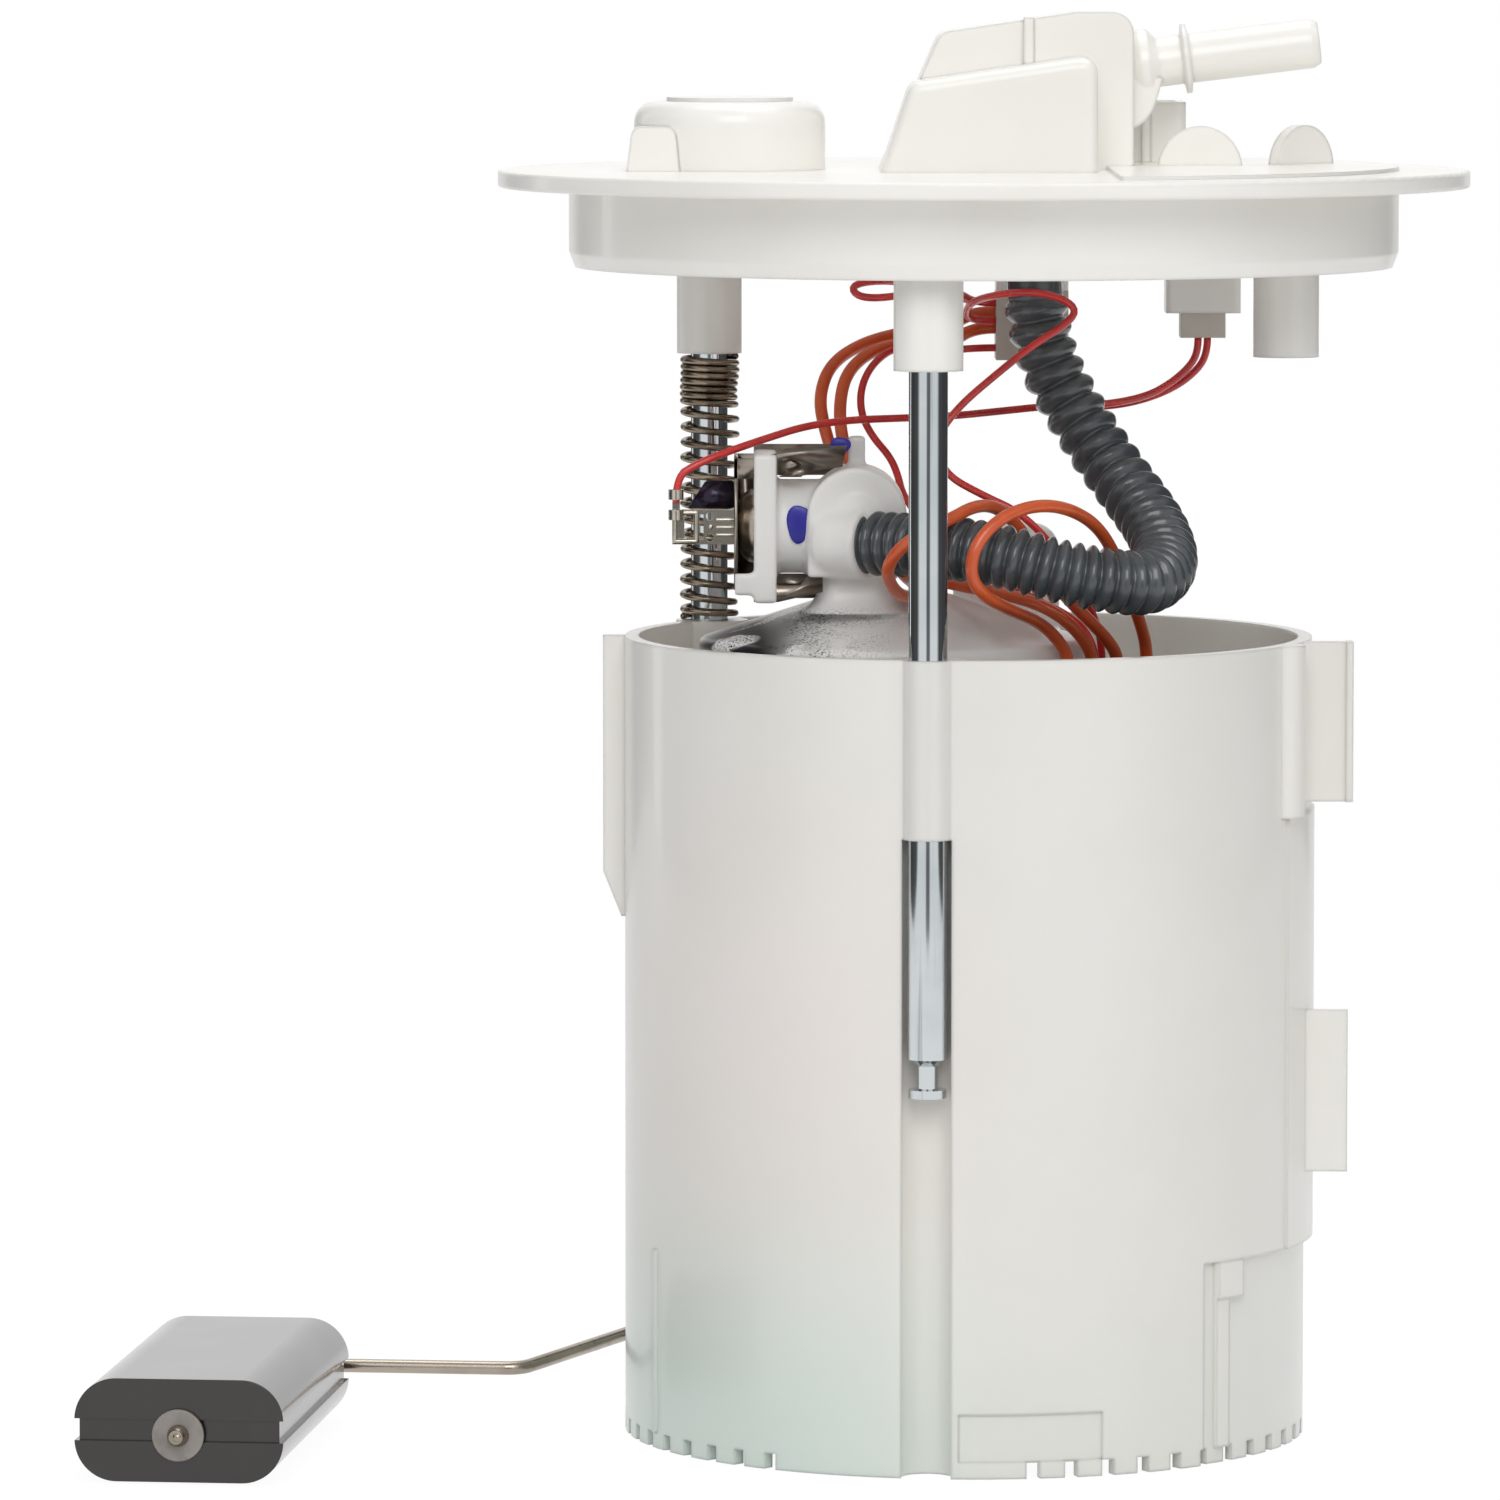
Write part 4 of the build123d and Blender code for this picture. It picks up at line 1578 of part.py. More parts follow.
# Fuel hose: slipped on the cover's barb and on the tower's port
HOSE_ROUTE = [
    (*hose_top, HOSE_TOP_Z),
    (*hose_top, -9.5),
    (8.2, 7.0, -15.5),
    (8.8, 7.0, -21.6),
    (10.4, 7.0, -27.8),
    (13.4, 6.5, -33.7),
    (17.0, 5.0, -39.6),
    (20.8, 2.0, -45.0),
    (24.6, -3.0, -49.9),
    (27.7, -10.0, -54.5),
    (28.6, -19.0, -58.8),
    (25.4, -28.0, -61.0),
    (19.6, -32.0, -60.4),
    (11.5, -33.0, -58.9),
    (3.5, -32.0, -56.7),
    (-5.0, -28.4, -55.4),
    (PORT_X + HOSE_LEAD_IN * port_dir[0], PORT_Y + HOSE_LEAD_IN * port_dir[1], PORT_Z),
    (PORT_X, PORT_Y, PORT_Z),
]
with BuildPart() as fuel_hose:
    add(cord(HOSE_ROUTE, HOSE_R, "fuel_hose"))
    for mouth in (Plane(origin=(*hose_top, HOSE_TOP_Z), z_dir=(0, 0, -1)), port_plane):
        with BuildSketch(mouth):
            Circle(BARB_R + BARB_FIT)
        extrude(amount=BARB_L + BARB_FIT, mode=Mode.SUBTRACT)
save(fuel_hose.part, "fuel_hose")

# Leads: orange ones feed the pump, thin red ones sense and ground
WIRE_ROUTES = {
    "orange_wire_1": [
        (2.6, 28.0, -21.0),
        (-0.9, 28.0, -21.0),
        (-4.7, 27.0, -23.2),
        (-12.0, 24.0, -24.0),
        (-18.9, 20.0, -25.6),
        (-24.1, 16.0, -28.8),
        (-25.9, 13.0, -33.8),
        (-25.1, 10.0, -38.7),
        (-22.9, 8.0, -45.3),
        (-20.0, 8.5, -53.3),
        (-15.5, 6.5, -59.4),
        (-8.4, 1.5, -62.3),
        (0.1, -7.0, -63.4),
        (7.3, -14.0, -64.6),
        (12.4, -15.0, -67.2),
        (16.0, -13.0, -71.2),
        (block_x - 1.8, -11.0, BLOCK_TOP_Z + 3.4),
        (block_x - 1.8, -11.0, BLOCK_TOP_Z),
    ],
    "orange_wire_2": [
        (2.6, 26.0, -23.4),
        (-0.9, 26.0, -23.4),
        (-4.8, 24.0, -25.9),
        (-12.9, 20.0, -25.6),
        (-18.0, 16.0, -26.9),
        (-21.6, 13.0, -30.2),
        (-22.7, 10.0, -35.0),
        (-22.3, 7.0, -40.5),
        (-20.1, 5.0, -46.7),
        (-17.2, 4.0, -54.6),
        (-13.2, 0.0, -61.0),
        (-10.4, -9.0, -62.7),
        (-11.4, -18.0, -63.9),
        (-14.2, -26.0, -62.6),
        (-15.9, -32.5, -58.9),
        (-14.2, -35.5, -55.3),
        (-10.0, -36.0, -52.2),
        (-5.6, -34.0, -50.4),
        (-2.2, -29.5, -48.8),
        (1.0, -24.0, -49.0),
        (4.2, -19.5, -51.4),
        (6.7, -17.5, -55.0),
        (9.6, -16.0, -60.4),
        (14.6, -13.5, -66.0),
        (19.6, -9.0, -71.0),
        (block_x + 2.4, -6.0, BLOCK_TOP_Z + 3.5),
        (block_x + 2.4, -6.0, BLOCK_TOP_Z),
    ],
    "orange_wire_3": [
        (block_x - 5.8, -18.4, BLOCK_TOP_Z),
        (block_x - 5.8, -18.4, BLOCK_TOP_Z + 3.6),
        (12.0, -20.0, -71.0),
        (8.4, -24.0, -67.2),
        (3.5, -33.0, -64.7),
        (-0.7, -40.0, -62.2),
        (-3.0, -42.0, -58.8),
        (-2.2, -42.0, -54.0),
        (1.6, -40.0, -50.0),
        (6.9, -36.0, -48.2),
        (12.2, -30.0, -48.9),
        (17.2, -22.0, -52.0),
        (20.5, -16.0, -57.4),
        (23.0, -10.0, -64.0),
        (25.4, -4.0, -70.4),
        (block_x + 7.0, -2.0, BLOCK_TOP_Z + 3.8),
        (block_x + 7.0, -2.0, BLOCK_TOP_Z),
    ],
    "red_wire_ground": [
        (35.2, 27.0, -25.0),
        (35.2, 27.0, -27.2),
        (34.0, 27.0, -29.6),
        (31.0, 26.0, -32.2),
        (26.9, 24.0, -34.4),
        (19.9, 21.0, -35.6),
        (11.2, 20.0, -35.7),
        (3.1, 17.0, -36.4),
        (-5.0, 11.0, -36.9),
        (-13.4, 5.0, -36.9),
        (-21.1, 0.0, -36.9),
        (-28.2, -5.0, -37.6),
        (-34.5, -9.0, -39.4),
        (-40.8, -12.0, -41.4),
        (-45.4, -13.2, -43.2),
        (-48.5, -13.6, -45.2),
        (-48.5, -13.6, -49.2),
    ],
    "red_wire_sensor": [
        (36.8, 29.0, -25.0),
        (36.8, 29.0, -27.4),
        (35.4, 29.0, -30.2),
        (31.6, 29.0, -33.2),
        (26.0, 29.0, -35.4),
        (19.6, 29.0, -36.4),
        (14.0, 29.0, -36.0),
        (11.2, 29.0, -33.6),
        (10.4, 29.0, -31.2),
        (10.4, 29.0, -28.5),
    ],
    "red_wire_pump": [
        (2.6, 23.6, -22.2),
        (-0.6, 23.6, -22.2),
        (-2.4, 20.0, -21.2),
        (-2.0, 12.0, -18.9),
        (1.4, 3.0, -17.3),
        (7.2, -0.6, -16.5),
        (12.1, -1.0, -17.4),
        (14.9, -0.4, -19.4),
        (13.2, -1.0, -21.7),
        (7.5, -3.0, -25.1),
        (2.4, -6.0, -29.0),
        (-4.2, -9.0, -34.4),
        (-7.8, -10.0, -39.5),
        (-6.5, -11.0, -44.8),
        (-0.1, -13.0, -48.2),
        (5.4, -14.0, -50.6),
        (10.6, -13.0, -55.8),
        (15.0, -9.0, -62.4),
        (17.8, -4.5, -68.2),
        (block_x, -1.0, BLOCK_TOP_Z + 4.4),
        (block_x, -1.0, BLOCK_TOP_Z),
    ],
    "red_wire_sense": [
        (2.6, 24.6, -26.6),
        (-0.6, 24.6, -26.6),
        (-6.4, 20.6, -27.0),
        (-13.2, 17.0, -25.9),
        (-17.0, 14.0, -28.2),
        (-19.2, 12.0, -32.0),
        (-19.3, 10.0, -36.3),
        (-17.5, 8.0, -39.9),
        (-14.6, 6.0, -43.1),
        (-13.4, 4.0, -45.9),
        (-12.8, 1.0, -48.6),
        (-10.8, -2.0, -51.4),
        (-6.9, -6.0, -55.6),
        (-0.6, -6.5, -60.4),
        (7.3, -5.0, -64.6),
        (14.8, -4.0, -68.2),
        (block_x - 1.0, -4.0, BLOCK_TOP_Z + 5.0),
        (block_x - 1.0, -4.0, BLOCK_TOP_Z),
    ],
    "red_wire_slack": [
        (2.6, 31.8, -19.6),
        (-1.0, 31.8, -19.6),
        (-6.5, 22.0, -17.4),
        (-13.2, 7.0, -15.2),
        (-18.2, 1.6, -15.0),
        (-21.0, -0.6, -15.8),
        (-19.8, -2.2, -17.4),
        (-15.6, -0.8, -17.6),
        (-9.2, 6.0, -16.7),
        (-3.6, 16.0, -17.3),
        (-0.6, 24.0, -19.4),
        (2.6, 24.0, -19.4),
    ],
}
for wire_name, wire_route in WIRE_ROUTES.items():
    wire_r = ORANGE_R if wire_name.startswith("orange") else RED_R
    save(cord(wire_route, wire_r, wire_name), wire_name)
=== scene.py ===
"""Fuel pump module for a vehicle tank: the dressed scene.

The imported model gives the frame: bodies, joints and one solid for each piece.
This script gives every piece its finish, puts detailed pieces in place of the hose,
the leads, the return spring, the filter cover and the regulator's clip, adds small
trim, and sets up the studio and the camera.
All sizes are in metres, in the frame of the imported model.
"""

import json
import logging
import math
from dataclasses import dataclass, field
from enum import Enum

import bmesh
import bpy
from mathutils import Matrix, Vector

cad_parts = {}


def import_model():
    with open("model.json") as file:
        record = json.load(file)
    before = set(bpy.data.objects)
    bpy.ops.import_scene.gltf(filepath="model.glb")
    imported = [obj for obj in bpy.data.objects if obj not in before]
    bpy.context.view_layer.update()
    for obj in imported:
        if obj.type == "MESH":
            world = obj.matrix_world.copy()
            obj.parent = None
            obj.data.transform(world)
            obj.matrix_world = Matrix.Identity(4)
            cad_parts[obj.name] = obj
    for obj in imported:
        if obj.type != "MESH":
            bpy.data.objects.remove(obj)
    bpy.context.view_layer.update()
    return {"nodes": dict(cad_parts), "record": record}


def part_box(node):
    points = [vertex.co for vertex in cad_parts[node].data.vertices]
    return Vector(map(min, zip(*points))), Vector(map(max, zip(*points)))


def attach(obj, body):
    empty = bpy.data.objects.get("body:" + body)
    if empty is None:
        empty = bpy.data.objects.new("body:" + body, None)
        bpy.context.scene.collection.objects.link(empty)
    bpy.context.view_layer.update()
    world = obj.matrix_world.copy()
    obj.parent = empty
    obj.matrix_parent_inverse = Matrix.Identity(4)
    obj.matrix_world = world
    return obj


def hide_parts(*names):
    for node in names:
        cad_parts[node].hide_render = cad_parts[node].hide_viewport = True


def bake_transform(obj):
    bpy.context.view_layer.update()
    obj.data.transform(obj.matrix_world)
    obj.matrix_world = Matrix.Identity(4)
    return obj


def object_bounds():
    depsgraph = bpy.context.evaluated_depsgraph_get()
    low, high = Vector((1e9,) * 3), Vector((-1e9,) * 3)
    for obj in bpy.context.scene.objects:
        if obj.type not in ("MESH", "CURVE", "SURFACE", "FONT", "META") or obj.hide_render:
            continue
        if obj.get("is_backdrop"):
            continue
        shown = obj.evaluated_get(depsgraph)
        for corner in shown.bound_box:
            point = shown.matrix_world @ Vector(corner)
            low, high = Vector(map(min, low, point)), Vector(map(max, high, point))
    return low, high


LOG = logging.getLogger("fuel_pump_module")

Colour = tuple[float, float, float, float]
Point = tuple[float, float, float]
Pair = tuple[float, float]
Outline = list[Pair]
Socket = bpy.types.NodeSocket


class Body(Enum):
    """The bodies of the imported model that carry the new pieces."""

    RESERVOIR = "reservoir_body"
    COVER = "cover_body"
    ARM = "float_arm"


class Slot(Enum):
    """The record's material slots that the new pieces take."""

    ACETAL = "natural_acetal"
    SPRING = "bronze_spring_steel"
    STAINLESS = "stainless"
    HOSE = "grey_hose"
    ORANGE = "orange_wire"
    RED = "red_wire"
    BLACK = "black_plastic"


def srgb(red: int, green: int, blue: int) -> Colour:
    """Turns a display colour into the renderer's linear one.

    Args:
        red: Red from 0 to 255.
        green: Green from 0 to 255.
        blue: Blue from 0 to 255.

    Returns:
        The linear colour with an alpha of one.
    """
    channels = [c / 255 for c in (red, green, blue)]
    linear = [c / 12.92 if c <= 0.04045 else ((c + 0.055) / 1.055) ** 2.4 for c in channels]
    return (linear[0], linear[1], linear[2], 1.0)


class Nodes:
    """A node tree, with short calls for the nodes that the finishes and the studio share."""

    def __init__(self, tree: bpy.types.NodeTree) -> None:
        """Takes the tree to fill.

        Args:
            tree: Node tree of a material or a world.
        """
        self.tree = tree

    def find(self, kind: str) -> bpy.types.Node:
        """Finds the first node of a type.

        Args:
            kind: Blender's short name of the type.

        Returns:
            The node.
        """
        return next(node for node in self.tree.nodes if node.type == kind)

    def add(self, kind: str, **inputs: object) -> bpy.types.Node:
        """Adds a node and sets or links its inputs.

        Args:
            kind: Blender's name of the node type.
            **inputs: Values or sockets by input name, with _ for a space.

        Returns:
            The new node.
        """
        node = self.tree.nodes.new(kind)
        for key, value in inputs.items():
            self.put(node.inputs[key.replace("_", " ")], value)
        return node

    def put(self, socket: Socket, value: object) -> None:
        """Sets a socket's value, or links it where the value is a socket.

        Args:
            socket: The input to fill.
            value: A value, or the output that feeds it.
        """
        if isinstance(value, Socket):
            self.tree.links.new(value, socket)
        else:
            socket.default_value = value

    def math(
        self, operation: str, first: object, second: object = 0.0, third: object = 0.0
    ) -> bpy.types.Node:
        """Adds a node that joins values by one operation.

        Args:
            operation: Blender's name of the operation.
            first: A value or a socket.
            second: A value or a socket.
            third: What MULTIPLY_ADD adds.

        Returns:
            The node.
        """
        node = self.tree.nodes.new("ShaderNodeMath")
        node.operation = operation
        for socket, value in zip(node.inputs, (first, second, third)):
            self.put(socket, value)
        return node

    def join(self, operation: str, first: object, second: object = 0.0) -> Socket:
        """Joins two values and keeps the result between 0 and 1.

        Args:
            operation: Blender's name of the operation.
            first: A value or a socket.
            second: A value or a socket.

        Returns:
            The result's socket.
        """
        node = self.math(operation, first, second)
        node.use_clamp = True
        return node.outputs[0]


class NodeSheet(Nodes):
    """A material's nodes, with patterns that keep to the object's own space."""

    def __init__(self, name: str) -> None:
        """Starts a material with its Principled shader and coordinates.

        Args:
            name: Name of the material.
        """
        self.material = bpy.data.materials.new(name)
        self.material.use_nodes = True
        super().__init__(self.material.node_tree)
        self.shader = self.find("BSDF_PRINCIPLED")
        self.place = self.add("ShaderNodeTexCoord").outputs["Object"]

    def times(self, first: object, second: object) -> Socket:
        """Gives the product of two values or sockets."""
        return self.math("MULTIPLY", first, second).outputs[0]

    def ramp(self, value: object, low: float, high: float) -> Socket:
        """Maps a value smoothly from 0 at low to 1 at high.

        Args:
            value: The socket to map.
            low: Value that gives 0.
            high: Value that gives 1.

        Returns:
            The mapped socket.
        """
        node = self.add("ShaderNodeMapRange", Value=value, From_Min=low, From_Max=high)
        node.interpolation_type = "SMOOTHSTEP"
        return node.outputs["Result"]

    def mix(self, factor: object, first: object, second: object) -> Socket:
        """Mixes two colours.

        Args:
            factor: Share of the second colour.
            first: A colour or a socket.
            second: A colour or a socket.

        Returns:
            The mixed colour's socket.
        """
        node = self.tree.nodes.new("ShaderNodeMix")
        node.data_type = "RGBA"
        self.put(node.inputs[0], factor)
        self.put(node.inputs[6], first)
        self.put(node.inputs[7], second)
        return node.outputs[2]

    def noise(self, per_metre: float, detail: float = 3.0, stretch: Point | None = None) -> Socket:
        """Adds a noise in the object's own space.

        Args:
            per_metre: How many blotches fit in a metre.
            detail: How many finer layers it has.
            stretch: Scale along each axis, for drawn or moulded grain.

        Returns:
            The noise value's socket.
        """
        place = self.place
        if stretch is not None:
            place = self.add("ShaderNodeMapping", Vector=place, Scale=stretch).outputs[0]
        return self.add("ShaderNodeTexNoise", Vector=place, Scale=per_metre, Detail=detail).outputs[0]

    def axis(self, name: str) -> Socket:
        """Gives the surface point's X, Y or Z."""
        return self.add("ShaderNodeSeparateXYZ", Vector=self.place).outputs[name]


@dataclass(frozen=True)
class Finish:
    """A surface with a slow drift of colour, a fine grain and softened edges.

    No finish has the name of a slot of the record, because the frame brings a plain material for each slot.
    """

    name: str
    colour: Colour
    drift: Colour
    roughness: float
    metallic: float = 0.0
    subsurface: float = 0.0
    coat: float = 0.0
    coat_roughness: float = 0.12
    blotches: float = 60.0
    drift_span: Pair = (0.35, 0.7)
    grain: float = 2500.0
    grain_height: float = 0.00002
    grain_strength: float = 0.5
    roughness_swing: float = 0.08
    edge: float = 0.0003
    edge_samples: int = 4
    stretch: Point | None = None
    scatter_tint: Point = (1.0, 0.92, 0.82)
    scatter_depth: float = 0.003

    def material(self) -> bpy.types.Material:
        """Gives the finish's material, made once.

        Returns:
            The material.
        """
        made = bpy.data.materials.get(self.name)
        return made if made is not None else self.build()

    def build(self) -> bpy.types.Material:
        """Builds the material's nodes.

        Returns:
            The new material.
        """
        sheet = NodeSheet(self.name)
        slow = sheet.noise(self.blotches, detail=4.0)
        fine = sheet.noise(self.grain, detail=2.0, stretch=self.stretch)
        colour = sheet.mix(sheet.ramp(slow, *self.drift_span), self.colour, self.drift)
        lowest = self.roughness - self.roughness_swing / 2
        bump = sheet.add(
            "ShaderNodeBump", Strength=self.grain_strength, Distance=self.grain_height, Height=fine
        )
        if self.edge:
            soft = sheet.add("ShaderNodeBevel", Radius=self.edge)
            soft.samples = self.edge_samples
            sheet.put(bump.inputs["Normal"], soft.outputs[0])
        looks = {
            "Base Color": self.paint(sheet, colour),
            "Roughness": sheet.math("MULTIPLY_ADD", slow, self.roughness_swing, lowest).outputs[0],
            "Metallic": self.metallic,
            "Subsurface Weight": self.subsurface,
            "Subsurface Radius": self.scatter_tint,
            "Subsurface Scale": self.scatter_depth,
            "Coat Weight": self.coat,
            "Coat Roughness": self.coat_roughness,
            "Normal": bump.outputs[0],
        }
        for socket, value in looks.items():
            sheet.put(sheet.shader.inputs[socket], value)
        return sheet.material

    def paint(self, sheet: NodeSheet, colour: Socket) -> Socket:
        """Adds marks of this finish's own to its colour; the plain finish has none.

        Args:
            sheet: The material's nodes; not used by the plain finish.
            colour: The colour so far.

        Returns:
            The colour to use.
        """
        return colour


@dataclass(frozen=True)
class ReservoirPlastic(Finish):
    """Translucent acetal whose thin lower wall lets a cool tint through."""

    cool: Colour = srgb(222, 234, 226)
    cool_height: Pair = (-0.148, -0.196)
    cool_side: Pair = (0.006, -0.030)
    cool_least: float = 0.15
    warm: Colour = srgb(243, 234, 230)
    warm_mid: Point = (-0.034, -0.045, -0.128)
    warm_reach: float = 0.052
    warm_share: float = 0.7

    def paint(self, sheet: NodeSheet, colour: Socket) -> Socket:
        """Warms the middle of the wall and cools its lower left part.

        Args:
            sheet: The material's nodes.
            colour: The colour so far.

        Returns:
            The tinted colour.
        """
        away = sheet.tree.nodes.new("ShaderNodeVectorMath")
        away.operation = "DISTANCE"
        sheet.put(away.inputs[0], sheet.place)
        sheet.put(away.inputs[1], self.warm_mid)
        warmth = sheet.ramp(away.outputs["Value"], self.warm_reach, 0.0)
        colour = sheet.mix(sheet.times(warmth, self.warm_share), colour, self.warm)
        low = sheet.ramp(sheet.axis("Z"), *self.cool_height)
        left = sheet.ramp(sheet.axis("X"), *self.cool_side)
        spread = sheet.math("MULTIPLY_ADD", left, 1 - self.cool_least, self.cool_least).outputs[0]
        return sheet.mix(sheet.times(low, spread), colour, self.cool)


@dataclass(frozen=True)
class SootedPlastic(Finish):
    """Acetal of the filter cover, with carbon dust that settled on its dome."""

    dust: Colour = srgb(24, 21, 22)
    dome_foot: Pair = (-0.0735, -0.0723)
    dome_top: Pair = (-0.0645, -0.0675)
    dome_front: Pair = (0.004, -0.008)
    crowd_scale: float = 160.0
    crowd_span: Pair = (0.30, 0.62)
    speck_scale: float = 2600.0
    speck_span: Pair = (0.54, 0.60)
    speck_side: Pair = (-0.008, -0.034)
    patch_scale: float = 120.0
    patch_span: Pair = (0.41, 0.46)
    patch_side: Pair = (-0.024, -0.036)

    def paint(self, sheet: NodeSheet, colour: Socket) -> Socket:
        """Scatters specks over the dome, and patches towards its left.

        Args:
            sheet: The material's nodes.
            colour: The colour so far.

        Returns:
            The dusted colour.
        """
        height, side = sheet.axis("Z"), sheet.axis("X")
        dome = sheet.times(sheet.ramp(height, *self.dome_foot), sheet.ramp(height, *self.dome_top))
        dome = sheet.times(dome, sheet.ramp(sheet.axis("Y"), *self.dome_front))
        crowding = sheet.ramp(sheet.noise(self.crowd_scale), *self.crowd_span)
        specks = sheet.ramp(sheet.noise(self.speck_scale, detail=0.0), *self.speck_span)
        specks = sheet.times(sheet.times(specks, crowding), sheet.ramp(side, *self.speck_side))
        patches = sheet.ramp(sheet.noise(self.patch_scale, detail=2.0), *self.patch_span)
        patches = sheet.times(patches, sheet.ramp(side, *self.patch_side))
        dust = sheet.times(sheet.math("MAXIMUM", specks, patches).outputs[0], dome)
        return sheet.mix(dust, colour, self.dust)


@dataclass(frozen=True)
class FoamedRubber(Finish):
    """Moulded nitrile foam with a skin of fine closed pores, and painted sheen: lighter specks that stand in
    for highlights on it.
    """

    pore: Colour = srgb(24, 19, 18)
    pore_scale: float = 900.0
    pore_span: Pair = (0.22, 0.05)
    # skin is the colour of painted sheen: lighter specks that stand in for highlights on the foam.
    skin: Colour = srgb(54, 46, 44)
    painted_sheen_scale: float = 220.0
    painted_sheen_span: Pair = (0.5, 0.8)
    painted_sheen_share: float = 0.3

    def paint(self, sheet: NodeSheet, colour: Socket) -> Socket:
        """Darkens the pores and paints lighter specks between them, a painted sheen that stands in for
        highlights.

        Args:
            sheet: The material's nodes.
            colour: The colour so far.

        Returns:
            The marked colour.
        """
        cells = sheet.add("ShaderNodeTexVoronoi", Vector=sheet.place, Scale=self.pore_scale)
        colour = sheet.mix(sheet.ramp(cells.outputs["Distance"], *self.pore_span), colour, self.pore)
        # Painted sheen: noise specks in the lighter skin colour stand in for highlights.
        painted_sheen = sheet.ramp(sheet.noise(self.painted_sheen_scale, detail=5.0), *self.painted_sheen_span)
        return sheet.mix(sheet.times(painted_sheen, self.painted_sheen_share), colour, self.skin)


@dataclass(frozen=True)
class DrawnSteel(Finish):
    """Metal drawn lengthwise, with fine die lines and a few darker streaks."""

    streak: Colour = srgb(92, 100, 104)
    streak_scale: float = 900.0
    streak_span: Pair = (0.55, 0.75)
    streak_share: float = 0.45

    def paint(self, sheet: NodeSheet, colour: Socket) -> Socket:
        """Lays streaks along the draw.

        Args:
            sheet: The material's nodes.
            colour: The colour so far.

        Returns:
            The streaked colour.
        """
        drawn = sheet.noise(self.streak_scale, detail=4.0, stretch=self.stretch)
        lines = sheet.ramp(drawn, *self.streak_span)
        return sheet.mix(sheet.times(lines, self.streak_share), colour, self.streak)


NATURAL_ACETAL = Finish("moulded_acetal", srgb(249, 247, 242), srgb(245, 243, 237), 0.34, subsurface=0.12,
                        coat=0.25, coat_roughness=0.07, blotches=25.0, grain=1800.0, edge=0.0009)
RESERVOIR_ACETAL = ReservoirPlastic("reservoir_acetal", srgb(240, 238, 233), srgb(236, 234, 228), 0.32,
                                    subsurface=0.3, coat=0.3, coat_roughness=0.07, blotches=22.0,
                                    grain=1500.0, edge=0.0008)
FILTER_ACETAL = SootedPlastic("filter_cover_acetal", srgb(242, 241, 238), srgb(235, 234, 232), 0.32,
                              subsurface=0.35, blotches=40.0, edge=0.0005)
PLUG_NYLON = Finish("plug_nylon", srgb(206, 199, 190), srgb(196, 188, 178), 0.42, subsurface=0.15)
BLACK_NYLON = Finish("black_nylon", srgb(34, 34, 36), srgb(46, 45, 46), 0.45, grain_height=0.00004)
ZINC_STEEL = DrawnSteel("plated_rod", srgb(204, 209, 211), srgb(186, 193, 196), 0.05, metallic=1.0,
                        stretch=(1.0, 1.0, 0.02), grain=3500.0, grain_height=0.0000004, roughness_swing=0.02,
                        edge=0.0)
STAINLESS = DrawnSteel("stainless_sheet", srgb(172, 162, 150), srgb(138, 128, 116), 0.24, metallic=1.0,
                       stretch=(0.05, 1.0, 1.0), grain=3000.0, grain_height=0.000008, edge=0.00012)
SPRING_STEEL = Finish("oil_tempered_wire", srgb(150, 137, 121), srgb(112, 99, 86), 0.26, metallic=1.0,
                      blotches=260.0, grain=4000.0, grain_height=0.000006, edge=0.0001)
HOSE_NYLON = Finish("hose_nylon", srgb(80, 86, 90), srgb(64, 69, 74), 0.26, coat=0.4, blotches=90.0,
                    grain=2200.0, grain_height=0.00003, edge=0.0001)
ORANGE_LEAD = Finish("orange_insulation", srgb(228, 100, 50), srgb(214, 88, 42), 0.3, coat=0.3,
                     blotches=160.0, edge=0.0001)
RED_LEAD = Finish("red_insulation", srgb(224, 54, 50), srgb(200, 42, 44), 0.28, coat=0.4, blotches=160.0,
                  edge=0.0001)
NITRILE = FoamedRubber("nitrile_foam", srgb(34, 27, 24), srgb(28, 22, 20), 0.2, coat=0.5, coat_roughness=0.1,
                       grain_height=0.00002, edge=0.0004)
SEAL_RUBBER = Finish("seal_rubber", srgb(30, 30, 31), srgb(40, 40, 41), 0.5)
COPPER = DrawnSteel("bare_copper", srgb(196, 128, 88), srgb(176, 106, 68), 0.3, metallic=1.0, edge=0.0001,
                    streak=srgb(120, 70, 48), stretch=(1.0, 1.0, 0.1))
FERRITE = Finish("pressed_ferrite", srgb(58, 58, 60), srgb(70, 69, 70), 0.55, grain_height=0.00008)
CERAMIC = Finish("resistor_card", srgb(232, 229, 222), srgb(220, 216, 206), 0.25, edge=0.0001)
PAPER = Finish("resin_paper", srgb(226, 213, 182), srgb(212, 196, 160), 0.8, grain=1200.0,
               grain_height=0.0001)
CLIP_STEEL = DrawnSteel("clip_sheet", srgb(158, 148, 138), srgb(128, 119, 110), 0.3, metallic=1.0,
                        stretch=(0.05, 1.0, 1.0), grain=3000.0, grain_height=0.000008, edge=0.00012)
TIN_PLATE = DrawnSteel("tin_plate", srgb(206, 202, 192), srgb(178, 172, 160), 0.18, metallic=1.0,
                       streak=srgb(120, 116, 108), stretch=(0.05, 1.0, 1.0), grain=3000.0,
                       grain_height=0.000008, edge=0.00012)
FROSTED_NYLON = Finish("frosted_nylon", srgb(150, 144, 138), srgb(132, 126, 120), 0.4, subsurface=0.3,
                       coat=0.3, blotches=300.0, edge=0.0003)
BLUE_PAINT = Finish("blue_paint", srgb(30, 28, 168), srgb(22, 18, 136), 0.35, coat=0.1, edge=0.0001)
DARK_TAB = Finish("blued_steel", srgb(44, 36, 56), srgb(30, 25, 36), 0.22, metallic=0.6, edge=0.0001)

